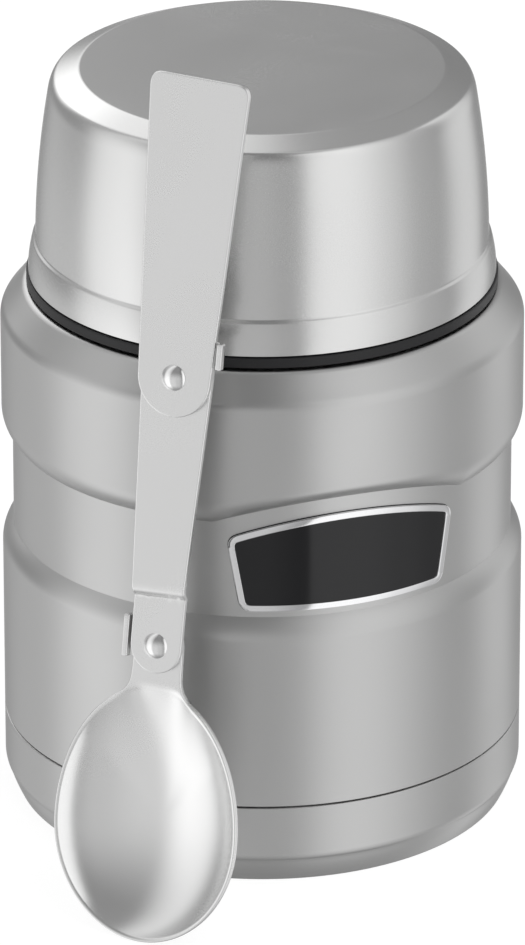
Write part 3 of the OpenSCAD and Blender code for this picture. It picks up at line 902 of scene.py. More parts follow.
@dataclass
class Badge:
    """The bare badge: a bright bezel round a black plate, with a thin black strip of painted shadow round
    the bezel.

    Attributes:
        jar: The jar's sizes.
        low: Height of its lower edge.
        side_h: Height of its sides.
        shift: Its middle's place along the waist.
        low_half: Half of its lower width.
        top_half: Half of its width at the upper corners.
        crown: Rise of its upper edge.
        corner: Rounding of its corners.
        gap_shadow: Width of a black strip of painted shadow round the bezel, which stands in for the shadow
            line of its gap.
        gap_shadow_proud: Height of that painted-shadow strip over the waist.
        sunk: Depth of the badge's back under the waist.
        bezel_w: Width of the bezel.
        bezel_round: Rounding of the bezel's edges.
        bezel_proud: Height of the bezel over the waist.
        plate_proud: Height of the plate over the waist.
    """

    jar: JarSizes
    low: float = 53.6
    side_h: float = 14.05
    shift: float = -0.2
    low_half: float = 19.5
    top_half: float = 21.95
    crown: float = 4.2
    corner: float = 2.0
    # Painted shadow: the plate's black reaches this far past the bezel, as a thin strip for the shadow line
    # of the bezel's gap.
    gap_shadow: float = 0.12
    gap_shadow_proud: float = 0.04
    sunk: float = 0.1
    bezel_w: float = 1.25
    bezel_round: float = 0.22
    bezel_proud: float = 0.7
    plate_proud: float = 0.42

    def _outline(self, gap: float = 0.0) -> Outline:
        """Gives the badge's outline on the unrolled waist, anticlockwise and moved inwards by a gap.

        Args:
            gap: How far the outline moves inwards.

        Returns:
            The outline's points.
        """
        steps = 24
        shares = [1 - 2 * i / steps for i in range(steps + 1)]
        arch = [(self.top_half * s, self.low + self.side_h + self.crown * (1 - s * s)) for s in shares]
        corners = [(-self.low_half, self.low, self.corner), (self.low_half, self.low, self.corner),
                   (*arch[0], self.corner), *[(x, z, 0.0) for x, z in arch[2:-2]], (*arch[-1], self.corner)]
        return inset(divided(soft_outline([(x + self.shift, z, r) for x, z, r in corners], 6)), gap)

    def bezel(self) -> bpy.types.Object:
        """Makes the bezel, a band with soft edges that closes on itself.

        Returns:
            The new object.
        """
        soft, top, width = self.bezel_round, self.bezel_proud, self.bezel_w
        eased = soft * 0.3
        rows = [(0.0, -self.sunk), (0.0, top - soft), (eased, top - eased), (soft, top),
                (width - soft, top), (width - eased, top - eased), (width, top - soft), (width, -self.sunk)]
        rings = [(self._outline(gap), proud) for gap, proud in rows]
        points = [self.jar.on_waist(x, z, proud) for ring, proud in rings for x, z in ring]
        faces = bands(len(rows), len(points) // len(rows), closed=True)
        return make_mesh("badge_bezel_bright", points, faces)

    def plate(self) -> bpy.types.Object:
        """Makes the plate, which fills the bezel, with a rim of its black that shows round the bezel as
        painted shadow.

        Returns:
            The new object.
        """
        rows, middle_share = 14, 0.6
        # The outer ring lies past the bezel's edge, so the plate's black shows there as a painted shadow
        # line round the bezel.
        edge, lip = self._outline(self.bezel_w), self._outline(-self.gap_shadow)
        count = len(edge)
        centre = (self.shift, self.low + self.side_h * middle_share)
        rings = [(lip, -self.sunk), (lip, self.gap_shadow_proud), (edge, self.gap_shadow_proud)]
        for k in range(rows):
            share = 1 - k / rows
            ring = [(mix(centre[0], x, share), mix(centre[1], z, share)) for x, z in edge]
            rings.append((ring, self.plate_proud))
        points = [self.jar.on_waist(x, z, proud) for ring, proud in rings for x, z in ring]
        faces = bands(len(rings), count)
        last, tip = len(points) - count, len(points)
        points.append(self.jar.on_waist(*centre, self.plate_proud))
        faces += [(last + i, last + (i + 1) % count, tip) for i in range(count)]
        faces.append(tuple(reversed(range(count))))
        return make_mesh("badge_plate_black", points, faces)


@dataclass
class Jar:
    """The jar: shell with an arched notch over the badge, base cover, vessel, collar and hidden parts.

    Attributes:
        sizes: The sizes that its pieces share.
        low_round: Heights of the rounding over the lower band: its pull and its end.
        band_round: Heights of the rounding under the upper band: its pull and its end.
        lip: Rise of the rolled lip round the black ring.
        notch_half: Half of the notch's width along the waist.
        notch_low: Height of the notch's corners over the waist's upper edge.
        notch_crown: Rise of the notch over its corners.
        notch_round: Height of the rounding at the notch's crown.
        notch_blur: Half of the width in which the notch's corners begin.
        foot_in: Distance of the foot's edge in from the band.
        bevel_h: Height of the foot's bevel.
        recess_h: Height of the recessed underside.
        vessel_r: Outside radius of the inner vessel.
        vessel_z: Height of its floor.
        vessel_round: Rounding of its floor's edge.
        ring_top: Height of the black ring's upper edge over the shell.
        sleeve_r: Radius of the sleeve that carries the lid's thread.
        thread_h: Height of the thread's ridge.
        thread_turns: Number of its turns.
    """

    sizes: JarSizes = field(default_factory=JarSizes)
    low_round: tuple[float, float] = (2.35, 4.3)
    band_round: tuple[float, float] = (1.95, 4.47)
    lip: float = 0.2
    notch_half: float = 24.1
    notch_low: float = 0.2
    notch_crown: float = 4.1
    notch_round: float = 2.7
    notch_blur: float = 0.6
    foot_in: float = 2.85
    bevel_h: float = 4.8
    recess_h: float = 1.6
    vessel_r: float = 42.0
    vessel_z: float = 12.5
    vessel_round: float = 7.0
    ring_top: float = 2.5
    sleeve_r: float = 38.4
    thread_h: float = 0.44
    thread_turns: float = 1.45

    def _notch(self, azimuth: float) -> tuple[float, float]:
        """Gives the height of the waist's upper edge at an azimuth, and of the rounding over it.

        Args:
            azimuth: Direction around the axis, in radians.

        Returns:
            Both heights, the edge's first.
        """
        s = self.sizes
        turn = azimuth - math.radians(s.badge_turn_deg)
        turn = (turn + math.pi) % (2 * math.pi) - math.pi
        along = abs(turn * s.waist_r)
        arch = max(1 - (along / self.notch_half) ** 2, 0.0)
        inside = smooth_step(self.notch_half + self.notch_blur, self.notch_half - self.notch_blur, along)
        edge = s.waist_top + inside * self.notch_low + self.notch_crown * arch
        return edge, mix(self.band_round[1], self.notch_round, arch)

    def _shell_outline(self, azimuth: float) -> Outline:
        """Gives the shell's closed outline at an azimuth.

        Args:
            azimuth: Direction around the axis, in radians.

        Returns:
            The outline's points, as radius and height.
        """
        s = self.sizes
        seam, soft, lip_z = s.base_h + s.seam_gap, 0.25, s.body_h + self.lip
        low_mid, high_mid = 30.0, 84.0
        edge, round_h = self._notch(azimuth)
        pull = self.band_round[0] / self.band_round[1]
        outline = [(s.band_r - s.shell_wall - 0.05, s.base_h), (s.band_r - soft, seam),
                   (s.band_r - soft * 0.2, seam + soft * 0.32), (s.band_r, seam + soft), (s.band_r, low_mid)]
        outline += bezier((s.band_r, s.waist_low - self.low_round[1]),
                          (s.band_r, s.waist_low - self.low_round[0]), (s.waist_r, s.waist_low), 12)
        outline += [(s.waist_r, mix(s.waist_low, edge, t)) for t in (0.2, 0.5, 0.8)]
        outline += bezier((s.waist_r, edge), (s.band_r, edge + round_h * pull),
                          (s.band_r, edge + round_h), 12)
        outline += [(s.band_r, high_mid)]
        outline += bezier((s.band_r, s.body_h - 6.2), (s.band_r, s.body_h - 5.0),
                          (s.band_r - 1, s.body_h - 3.9), 8)
        outline += [(s.band_r - 2.5, s.body_h - 2.07)]
        outline += bezier((s.rim_r + 1, s.body_h - 0.4), (s.rim_r + 0.45, lip_z), (s.rim_r, lip_z), 6)
        outline += bezier((s.neck_r + 0.8, lip_z), (s.neck_r, lip_z), (s.neck_r, lip_z + 0.8), 3)
        neck_in, waist_in, foot_in = s.neck_r - s.shell_wall, s.waist_r - s.shell_wall, s.band_r - 1.25
        neck_top, under = s.lip_z - s.vessel_wall, s.body_h - s.shell_wall
        outline += [(s.neck_r, neck_top), (neck_in, neck_top), (neck_in, under), (s.rim_r - 0.4, under),
                    (waist_in, s.body_h - 4.5), (waist_in, 24.0), (foot_in, 21.0), (foot_in, 6.5),
                    (s.band_r - 0.65, 6.5)]
        return outline

    def shell(self) -> bpy.types.Object:
        """Makes the outer shell, whose upper band has a soft arched notch over the badge."""
        return turned("jar_shell_satin", self._shell_outline, 288)

    def base_cover(self) -> bpy.types.Object:
        """Makes the base cover with its bevelled foot and recessed underside.

        Returns:
            The new object.
        """
        s = self.sizes
        foot_r, wall_r, soft = s.band_r - self.foot_in, s.band_r - s.shell_wall, 0.22
        bevel = (s.band_r - 0.45, self.bevel_h)
        outline = [(foot_r - 4.0, 0.25), (foot_r - 3.7, 0.0), (foot_r, 0.0)]
        outline += bezier((foot_r + 0.1, 0.0), (foot_r + 0.5, 0.0), (foot_r + 0.7, 0.5), 5)
        outline += bowed((foot_r + 0.7, 0.5), bevel, 0.12, 6)
        outline += bezier(bevel, (s.band_r - 0.1, self.bevel_h + 0.4), (s.band_r, self.bevel_h + 1.4), 6)
        outline += bezier((s.band_r, s.base_h - soft), (s.band_r, s.base_h), (s.band_r - soft, s.base_h), 4)
        low, high = self.recess_h, self.recess_h + s.shell_wall
        outline += [(wall_r, s.base_h), (wall_r, self.bevel_h + 1.6), (wall_r - 0.5, self.bevel_h + 0.4),
                    (foot_r + 0.1, high), (0.0, high), (0.0, low), (foot_r - 5.6, low),
                    (foot_r - 5.0, low - 0.15), (foot_r - 4.6, low - 0.6)]
        return turned("jar_base_cover_satin", thinned(outline), 240)

    def vessel(self) -> bpy.types.Object:
        """Makes the inner vessel, with its soft shoulder and rolled lip.

        Returns:
            The new object.
        """
        s = self.sizes
        wall, corner = s.vessel_wall, self.vessel_round
        wall_r, floor_z, shoulder_z = self.vessel_r - wall, self.vessel_z, s.body_h - 14.5
        middle = ((wall_r + s.mouth_r) / 2, s.body_h - 8)
        ends = (wall_r - corner, floor_z), (wall_r, floor_z), (wall_r, floor_z + corner)
        path = [(wall_r * t, floor_z) for t in (0.0, 0.3, 0.6)]
        path += bezier(*ends, 12)
        path += [(wall_r, mix(floor_z + corner, shoulder_z, t)) for t in (0.33, 0.66)]
        path += bezier((wall_r, shoulder_z), (wall_r, shoulder_z + 4), middle, 8)
        path += bezier(middle, (s.mouth_r, s.body_h - 5.5), (s.mouth_r, s.body_h - 2), 8)
        path += bezier((s.mouth_r, s.lip_z - 0.8), (s.mouth_r, s.lip_z), (s.mouth_r + 0.8, s.lip_z), 6)
        path += bezier((s.neck_r - 0.5, s.lip_z), (s.neck_r, s.lip_z), (s.neck_r, s.lip_z - 0.45), 4)
        path += [(s.neck_r - 0.6, s.lip_z - wall), (s.mouth_r + 1.0, s.lip_z - wall),
                 (s.mouth_r + wall, s.lip_z - 1.2), (s.mouth_r + wall, s.body_h - 2)]
        inside_wall = [ends[2], (wall_r, shoulder_z), middle, (s.mouth_r, s.body_h - 3)]
        path += [*reversed(beside(inside_wall, -wall)), *reversed(beside(bezier(*ends, 8), -wall))]
        return turned("vessel_brushed", thinned([*path, (0.0, floor_z - wall)]), 192)

    def collar(self) -> bpy.types.Object:
        """Makes the black collar: the visible ring and the threaded sleeve for the lid.

        Returns:
            The new object.
        """
        s = self.sizes
        ring_r, ring_z, ring_top = s.rim_r + 0.1, s.body_h + self.lip + 0.05, s.body_h + self.ring_top
        in_r, sleeve_top = s.neck_r + 0.05, s.lip_z - 1.2
        under_w, under_h = 1.8, 0.4
        corners = [(in_r + 0.8, ring_z, 0.0), (ring_r - under_w, ring_z, 0.0),
                   (ring_r - under_w, ring_z + under_h, 0.1), (ring_r, ring_z + under_h, 0.2),
                   (ring_r, ring_top, 0.3), (self.sleeve_r, ring_top, 0.3),
                   (self.sleeve_r, sleeve_top, 0.6), (in_r, sleeve_top, 0.3), (in_r, ring_z + 0.8, 0.0)]
        body = turned("jar_collar_black", soft_outline(corners, 3), 192)
        return joined("jar_collar_black", [body, self._thread()])

    def _thread(self) -> bpy.types.Object:
        """Makes the ridge of the lid's screw thread, with ends that run out.

        Returns:
            The new object.
        """
        s = self.sizes
        per_turn, sunk, foot, crest, eased = 120, 0.3, 0.75, 0.35, 0.15
        steps, run_out, h = int(per_turn * self.thread_turns), 0.12 * per_turn, self.thread_h
        section = [(-sunk, -foot), (0, -foot), (h * 0.9, -crest), (h, -crest + eased),
                   (h, crest - eased), (h * 0.9, crest), (0, foot), (-sunk, foot)]
        points: list[Place] = []
        for i in range(steps + 1):
            azimuth = math.radians(s.thread_start_deg) + 2 * math.pi * i / per_turn
            rise = smooth_step(0, run_out, i) * smooth_step(0, run_out, steps - i)
            z = s.thread_low + s.thread_pitch * i / per_turn
            for out, up in section:
                r = self.sleeve_r + (out if out < 0 else out * rise)
                points.append((r * math.sin(azimuth), -r * math.cos(azimuth), z + up))
        width = len(section)
        ends = [tuple(range(width)), tuple(range(steps * width, (steps + 1) * width))]
        return make_mesh("collar_thread", points, bands(steps + 1, width) + ends)

    def build(self, shop: Workshop) -> None:
        """Builds the jar and puts it on its body.

        Args:
            shop: Workshop that dresses and places the pieces.
        """
        badge = Badge(self.sizes)
        shop.settle(self.shell(), Body.JAR, "body_steel", "outer_shell")
        shop.settle(self.base_cover(), Body.JAR, "body_steel", "base_cover")
        shop.settle(self.vessel(), Body.JAR, "vessel_steel", "inner_vessel")
        shop.settle(self.collar(), Body.JAR, "black_moulding", "neck_collar")
        shop.settle(badge.bezel(), Body.JAR, "badge_bright", "badge_bezel")
        shop.settle(badge.plate(), Body.JAR, "badge_black", "badge_plate")
        shop.keep("vacuum_end_plate", "vessel_steel")
        shop.keep("getter", "getter_metal")
        shop.keep("evacuation_seal", "port_solder")


@dataclass
class Stopper:
    """The screw-in stopper: moulded body with grip ribs and a well, its ring and its bottom cap.

    Attributes:
        jar: The jar's sizes.
        plug_r: Radius of the plug.
        plug_z: Height of the plug's lower end.
        flange_r: Radius of the flange.
        flange_h: Thickness of the flange.
        grip_r: Radius of the grip.
        top: Height of the grip's upper edge.
        well_r: Radius of the well.
        well_floor: Height of the well's floor.
        wall: Thickness of the moulding.
        ribs: Number of grip ribs.
        rib_h: Height of a rib.
        groove_low: Depth of the ring's groove under the mouth.
        groove_w: Width of the ring's groove.
        groove_d: Depth of the ring's groove in the plug.
        cap_h: Height of the bottom cap under the plug.
    """

    jar: JarSizes
    plug_r: float = 34.5
    plug_z: float = 92.9
    flange_r: float = 37.2
    flange_h: float = 2.8
    grip_r: float = 35.2
    top: float = 131.0
    well_r: float = 32.4
    well_floor: float = 117.0
    wall: float = 2.4
    ribs: int = 36
    rib_h: float = 0.42
    groove_low: float = 8.0
    groove_w: float = 3.0
    groove_d: float = 1.4
    cap_h: float = 1.6

    def _outline(self, azimuth: float) -> Outline:
        """Gives the body's closed outline at an azimuth.

        Args:
            azimuth: Direction around the axis, in radians.

        Returns:
            The outline's points, as radius and height.
        """
        z0 = self.jar.lip_z + 0.3
        z1 = z0 + self.flange_h
        groove_z, groove_r = self.jar.lip_z - self.groove_low, self.plug_r - self.groove_d
        rib = self.rib_h * max(math.cos(azimuth * self.ribs), 0.0) ** 2
        outline = [(self.plug_r, self.plug_z), (self.plug_r, groove_z), (groove_r, groove_z),
                   (groove_r, groove_z + self.groove_w), (self.plug_r, groove_z + self.groove_w),
                   (self.plug_r, z0 - 0.1)]
        outline += soft_outline([(self.plug_r, z0, 0.0), (self.flange_r, z0, 0.3), (self.flange_r, z1, 0.6),
                                 (self.grip_r, z1, 0.3)], 4)[1:]
        outline += [(self.grip_r + rib * t, mix(z1 + 0.35, self.top - 1.1, h))
                    for t, h in ((0.6, 0.0), (1.0, 0.03), (1.0, 0.5), (1.0, 0.97), (0.6, 1.0))]
        outline += soft_outline([(self.grip_r, self.top, 0.8), (self.well_r, self.top, 0.8),
                                 (self.well_r, self.well_floor, 2.0)], 5)[1:]
        inner_r, under = self.plug_r - self.wall, self.well_floor - self.wall
        outline += [(20.0, self.well_floor), (0.0, self.well_floor), (0.0, under), (inner_r, under),
                    (inner_r, self.plug_z)]
        return outline

    def body(self) -> bpy.types.Object:
        """Makes the moulded body with its grip ribs."""
        return turned("stopper_body_black", self._outline, 432)

    def ring(self) -> bpy.types.Object:
        """Makes the ring in the body's groove."""
        centre = (self.plug_r - 0.55, self.jar.lip_z - self.groove_low + self.groove_w / 2)
        return turned("stopper_ring_silicone", arc(centre, 1.0, 0, 360, 20, 1.2)[:-1], 160)

    def cap(self) -> bpy.types.Object:
        """Makes the bottom cap, whose rim reaches up into the body.

        Returns:
            The new object.
        """
        low, high, rim_w, rim_h = self.plug_z - self.cap_h, self.plug_z - 0.01, 1.2, 3.0
        inner_r = self.plug_r - self.wall - 0.05
        corners = [(0, low, 0), (14, low, 0), (14.6, low, 0), (self.plug_r - 1, low, 0.4),
                   (self.plug_r, low + 1, 0.4), (self.plug_r, high, 0), (inner_r, high, 0),
                   (inner_r, self.plug_z + rim_h, 0.3), (inner_r - rim_w, self.plug_z + rim_h, 0.3),
                   (inner_r - rim_w, self.plug_z, 0), (0, self.plug_z, 0)]
        return turned("stopper_base_black", thinned(soft_outline(corners, 4)), 160)

    def build(self, shop: Workshop) -> None:
        """Builds the stopper and puts it on its bodies.

        Args:
            shop: Workshop that dresses and places the pieces.
        """
        shop.settle(self.body(), Body.STOPPER, "stopper_black", "stopper_body")
        shop.settle(self.ring(), Body.STOPPER_RING, "silicone", "stopper_seal")
        shop.settle(self.cap(), Body.STOPPER, "stopper_black", "stopper_base")
        shop.keep("stopper_insulation", "foam")


@dataclass
class Lid:
    """The screw-on lid, which doubles as a bowl: steel shell, moulded liner, ring and foam.

    Attributes:
        jar: The jar's sizes.
        low: Height of its lower edge.
        top: Height of its upper face.
        skirt_r: Radius of its lower edge.
        skirt_bow: Rise of the skirt's bow.
        crease_r: Radius at the crease over the skirt.
        crease_h: Height of the crease over the lower edge.
        step: Width and height of the small step at the crease.
        edge_r: Radius where the straight wall ends.
        edge_h: Depth of that place under the upper face.
        wall_bow: Rise of the wall's bow.
        bevel_r: Radius at the bevel's lower edge.
        bevel_h: Height of the bevel.
        flat_r: Radius of the flat top.
        wall: Sheet thickness of the shell.
        liner_gap: Distance from the shell's outside to the liner.
        liner_wall: Thickness of the liner.
        liner_r: Inside radius of the liner's threaded foot.
        foot_h: Height of the liner's threaded foot.
    """

    jar: JarSizes
    low: float = 101.15
    top: float = 139.6
    skirt_r: float = 42.15
    skirt_bow: float = 0.2
    crease_r: float = 41.05
    crease_h: float = 6.3
    step: float = 0.5
    edge_r: float = 38.4
    edge_h: float = 4.9
    wall_bow: float = 0.5
    bevel_r: float = 36.9
    bevel_h: float = 1.65
    flat_r: float = 32.8
    wall: float = 0.6
    liner_gap: float = 1.4
    liner_wall: float = 1.4
    liner_r: float = 38.9
    foot_h: float = 8.6

    def _path(self) -> Outline:
        """Gives the shell's outside from its lower edge to the middle of its top.

        Returns:
            The path's points, as radius and height.
        """
        half, crease_z, soft = self.step / 2, self.low + self.crease_h, 0.2
        outer = (self.crease_r + half, crease_z - half)
        inner = (self.crease_r - half, crease_z + half)
        edge = (self.edge_r, self.top - self.edge_h)
        bevel, flat = (self.bevel_r, self.top - self.bevel_h), (self.flat_r, self.top)
        wall = bowed(inner, edge, self.wall_bow, 14)
        path = bowed((self.skirt_r, self.low + 0.15), outer, self.skirt_bow, 8)[:-1]
        path += rounded(path[-1], outer, inner, soft, 3) + rounded(outer, inner, wall[1], soft, 3)
        path += wall[1:-1]
        path += bezier(edge, (self.edge_r - 0.4, bevel[1] - 0.55), bevel, 10)[:-1]
        path += rounded(path[-1], bevel, flat, soft, 3)
        path += rounded(bevel, flat, (0.0, self.top), 0.35, 4)
        path += [(24.0, self.top), (12.0, self.top), (0.0, self.top)]
        return thinned(path)

    def shell(self) -> bpy.types.Object:
        """Makes the steel shell with its rolled lower edge.

        Returns:
            The new object.
        """
        path = self._path()
        inside = list(reversed(beside(path, self.wall)))
        outline = [*path, (0.0, inside[0][1]), *inside[1:], (self.skirt_r - 0.35, self.low),
                   (self.skirt_r - 0.12, self.low)]
        return turned("lid_shell_polished", thinned(outline), 288)

    def liner(self) -> bpy.types.Object:
        """Makes the moulded liner, with the groove of the thread in its foot.

        Returns:
            The new object.
        """
        foot_z, ceiling, rows = self.low + 0.35, self.top - 3.6, 30
        foot_top, roof = foot_z + self.foot_h, ceiling + self.liner_wall
        crease = (self.crease_r, self.low + self.crease_h)
        wall = bowed(crease, (self.edge_r, self.top - self.edge_h), self.wall_bow, 14)
        inner = [q for q in beside(wall, self.liner_gap + self.liner_wall) if q[1] > foot_top]
        outer = [q for q in beside(wall, self.liner_gap) if q[1] > foot_top]
        skirt = beside(bowed((self.skirt_r, self.low), crease, self.skirt_bow, 8), self.wall + 0.05)
        skirt = [q for q in skirt if foot_z < q[1] < foot_top - 1]
        slot_in, slot_out, slot_top = self.liner_r + 0.6, self.liner_r + 2.1, foot_z + 1.2
        in_r, out_r = inner[-1][0], outer[-1][0]
        land = [(self.liner_r, mix(foot_top, foot_z + 0.2, i / rows)) for i in range(rows + 1)]
        back = [(slot_in, foot_z), (slot_in, slot_top), (slot_out, slot_top), (slot_out, foot_z)]
        back += [(skirt[0][0], foot_z), *skirt, (skirt[-1][0], foot_top - 1), *outer]
        back += bezier((out_r, ceiling - 1), (out_r - 0.3, roof), (in_r - 2, roof), 5)
        back += [(0.0, roof), (0.0, ceiling), (16.0, ceiling), (in_r - 4, ceiling)]
        back += bezier((in_r - 2.5, ceiling), (in_r, ceiling), (in_r, ceiling - 2.5), 8)
        back += [*reversed(inner), (self.liner_r + 0.2, foot_top + 0.15)]

        def outline(azimuth: float) -> Outline:
            """Gives the liner's closed outline at an azimuth, with its screw groove.

            Args:
                azimuth: Direction around the axis, in radians.

            Returns:
                The outline's points, as radius and height.
            """
            pitch, depth = self.jar.thread_pitch, 0.42
            start = self.jar.thread_low + pitch / 2
            cut = []
            for r, z in land:
                turns = (z - start) / pitch - (azimuth / (2 * math.pi) + self.jar.thread_start_deg / 360)
                phase = abs((turns + 0.5) % 1 - 0.5) * pitch
                low_end = smooth_step(foot_z + 0.6, foot_z + 1.6, z)
                high_end = smooth_step(foot_top - 0.4, foot_top - 1.4, z)
                cut.append((r + depth * low_end * high_end * smooth_step(0.95, 0.55, phase), z))
            return cut + back

        return turned("lid_liner_dark", outline, 240, sharp_deg=45)

    def ring(self) -> bpy.types.Object:
        """Makes the ring that seals the lid on the black ring.

        Returns:
            The new object.
        """
        in_r, low, width, height = self.liner_r + 0.9, self.jar.body_h + 2.6, 0.9, 1.2
        corners = [(in_r, low, 0.3), (in_r + width, low, 0.3), (in_r + width, low + height, 0.2),
                   (in_r, low + height, 0.2)]
        return turned("lid_ring_silicone", soft_outline(corners, 4), 160)

    def build(self, shop: Workshop) -> None:
        """Builds the lid and puts it on its bodies.

        Args:
            shop: Workshop that dresses and places the pieces.
        """
        shop.settle(self.shell(), Body.LID, "lid_steel", "lid_shell")
        shop.settle(self.liner(), Body.LID, "liner_dark", "lid_liner")
        shop.settle(self.ring(), Body.LID_RING, "silicone", "lid_seal")
        shop.keep("lid_insulation", "foam")


@dataclass
class Spoon:
    """The folding spoon: pressed bowl, middle link and handle, held by two rivets.

    Attributes:
        jar: The jar's sizes.
        sheet: Sheet thickness.
        edge: Rounding of the sheet's edges.
        bend: Outer radius of a bend of the sheet.
        away: Distance of the tip from the band.
        side_deg: Azimuth of the tip, to the left of the front.
        turn_deg: Turn of the hollow side to the left of the front.
        lean_deg: Lean towards the jar.
        swing_deg: Swing of the bowl about the lower rivet.
        lift: Height of the tip over the ground.
        half_w: Half of the bowl's width.
        tip_len: From the tip to the bowl's widest place.
        neck_len: From there to the neck.
        depth: Depth of the bowl, outside.
        rim: Width of the bowl's flat rim.
        join_half: Half of the bowl's width where its neck starts to flare out of it.
        steep: Share of the hollow that rises steeply at its wall.
        ramp_deg: Half of the angle that the ramp into the neck takes up.
        ramp_end: End of the ramp as a share of neck_len.
        neck_half: Half of the neck's width.
        low_v: Place of the lower rivet along the spoon.
        high_v: Place of the upper rivet along the spoon.
        handle_len: Length of the handle over the upper rivet.
        handle_low_half: Half of the handle's width at the upper rivet.
        handle_top_half: Half of its width at the free end.
        handle_round: Rounding of its free end's corners.
        handle_w: Height of the handle over the neck.
        link_low_half: Half of the link's width at the lower rivet.
        link_half: Half of the link's width at the upper rivet.
        link_w: Height of the link's lower end over the neck.
        jog: Step of the link over the lower rivet.
        jog_v: Place of the step over the lower rivet.
        jog_len: Length of the step.
        jog_fold: Share of that length that the tight fold below takes up.
        jog_slant: Slant of the step across the link.
        bowl_ear: Place across the spoon where the bowl's stop ear bends up.
        link_ear: Place across the spoon where the link's stop ear bends up.
        head_r: Radius of a rivet's head.
        shank_r: Radius of its shank.
        dome: Height of its head.
    """

    jar: JarSizes
    sheet: float = 1.1
    edge: float = 0.28
    bend: float = 1.4
    away: float = 26.2
    side_deg: float = 18.4
    turn_deg: float = 26.6
    lean_deg: float = 11.5
    swing_deg: float = 0.8
    lift: float = 0.4
    half_w: float = 18.0
    tip_len: float = 20.8
    neck_len: float = 25.8
    depth: float = 7.7
    rim: float = 0.62
    join_half: float = 7.3
    steep: float = 0.16
    ramp_deg: float = 18.5
    ramp_end: float = 1.033
    neck_half: float = 4.75
    low_v: float = 54.5
    high_v: float = 103.5
    handle_len: float = 53.5
    handle_low_half: float = 7.05
    handle_top_half: float = 9.7
    handle_round: float = 2.6
    handle_w: float = 2.45
    link_low_half: float = 5.0
    link_half: float = 6.9
    link_w: float = 0.05
    jog: float = 1.25
    jog_v: float = 8.6
    jog_len: float = 3.0
    jog_fold: float = 0.17
    jog_slant: float = 0.075
    bowl_ear: float = -5.05
    link_ear: float = 7.5
    head_r: float = 2.3
    shank_r: float = 1.6
    dome: float = 0.95

    def place(self) -> Matrix:
        """Gives the frame of the flat spoon: x across, y along, z towards the hollow side.

        Returns:
            The matrix from the flat spoon to the scene.
        """
        far = self.jar.band_r + self.away
        side = math.radians(self.side_deg)
        move = Matrix.Translation((-far * math.sin(side), -far * math.cos(side), self.lift))
        turn = Matrix.Rotation(math.radians(-self.turn_deg), 4, "Z")
        lean = Matrix.Rotation(math.radians(90 - self.lean_deg), 4, "X")
        return move @ turn @ lean

    def bowl_place(self) -> Matrix:
        """Gives the frame of the bowl, which hangs a little off the spoon's line.

        Returns:
            The matrix from the flat bowl to the scene.
        """
        pivot = Matrix.Translation((0, self.low_v, 0))
        swing = Matrix.Rotation(math.radians(self.swing_deg), 4, "Z")
        return self.place() @ pivot @ swing @ pivot.inverted()

    def _dish(self, a: float, b: float) -> float:
        """Gives the height of the bowl's hollow face over a point of its blank.

        Args:
            a: Place across the spoon.
            b: Place along the spoon.

        Returns:
            The height, at most 0.
        """
        length = (self.neck_len if b > self.tip_len else self.tip_len) - self.rim
        x, y = a / (self.half_w - self.rim), (b - self.tip_len) / length
        f = max(math.hypot(x, y), 1e-6)
        to_neck = math.exp(-(math.atan2(x, y) / math.radians(self.ramp_deg)) ** 4) * min(f, 1.0) ** 4
        soft = mix(0.01, 0.03, to_neck)
        s = 1 - mix(f, y / self.ramp_end, to_neck)
        if s < soft:
            s = max(s + soft, 0.0) ** 2 / (4 * soft)
        steep = mix(self.steep, 0.0, smooth_step(0.55, 0.9, y / f))
        f = 1 - min(s, 1.0)
        return -(self.depth - self.sheet) * (1 - (1 - steep) * f ** 2 - steep * f ** 9)

    def _bent_up(self, a: float, b: float, t: float, start: float, low: float) -> Place:
        """Bends an ear of a blank up by a right angle.

        Args:
            a: Place across the blank, past the bend's start.
            b: Place along the blank.
            t: Height in the sheet.
            start: Where the bend starts.
            low: Height of the sheet's lower face.

        Returns:
            The place in the spoon's frame.
        """
        run = abs(a - start)
        turn = min(run / self.bend, math.pi / 2)
        x = abs(start) + (self.bend - t) * math.sin(turn)
        z = low + self.bend - (self.bend - t) * math.cos(turn) + max(run - self.bend * math.pi / 2, 0.0)
        return math.copysign(x, start), b, z

    def _bowl_form(self, a: float, b: float, t: float) -> Place:
        """Gives the place of a point of the bowl's blank at a height in the sheet.

        Args:
            a: Distance across the blank.
            b: Distance along the blank.
            t: Height over the underside of the sheet.

        Returns:
            The point of the formed bowl.
        """
        if a < self.bowl_ear and b > self.low_v - 4:
            return self._bent_up(a, b, t, self.bowl_ear, -self.sheet)
        step = 0.02
        rise_a = (self._dish(a + step, b) - self._dish(a - step, b)) / (2 * step)
        rise_b = (self._dish(a, b + step) - self._dish(a, b - step)) / (2 * step)
        normal = Vector((-rise_a, -rise_b, 1)).normalized()
        top = Vector((a, b, self._dish(a, b)))
        return tuple(top + normal * (t - self.sheet))

    def _link_form(self, a: float, b: float, t: float) -> Place:
        """Gives the place of a point of the link's blank: a tight fold below its step, a soft one above.

        Args:
            a: Distance across the blank.
            b: Distance along the blank.
            t: Height over the underside of the sheet.

        Returns:
            The point of the formed link.
        """
        fold = self.jog_fold
        along = min(max((b - self.jog_slant * a - self.low_v - self.jog_v) / self.jog_len, 0.0), 1.0)
        whole = fold / 2 + (1 - fold) / 3
        if along < fold:
            rise = along ** 2 / (2 * fold)
        else:
            rise = fold / 2 + (1 - fold) / 3 * (1 - ((1 - along) / (1 - fold)) ** 3)
        low = self.link_w + self.jog * rise / whole
        if a > self.link_ear:
            return self._bent_up(a, b, t, self.link_ear, low)
        return a, b, low + t

    def _on_egg(self, turn: float, share: float = 1.0, inside: float = 0.0) -> Point:
        """Gives a point of the bowl's egg.

        Args:
            turn: Angle round the bowl's widest place in radians.
            share: Distance from there as a share.
            inside: Distance in from the bowl's outline.

        Returns:
            The point.
        """
        s, c = math.sin(turn), math.cos(turn)
        length = (self.neck_len if s > 0 else self.tip_len) - inside
        return (self.half_w - inside) * share * c, self.tip_len + length * share * s

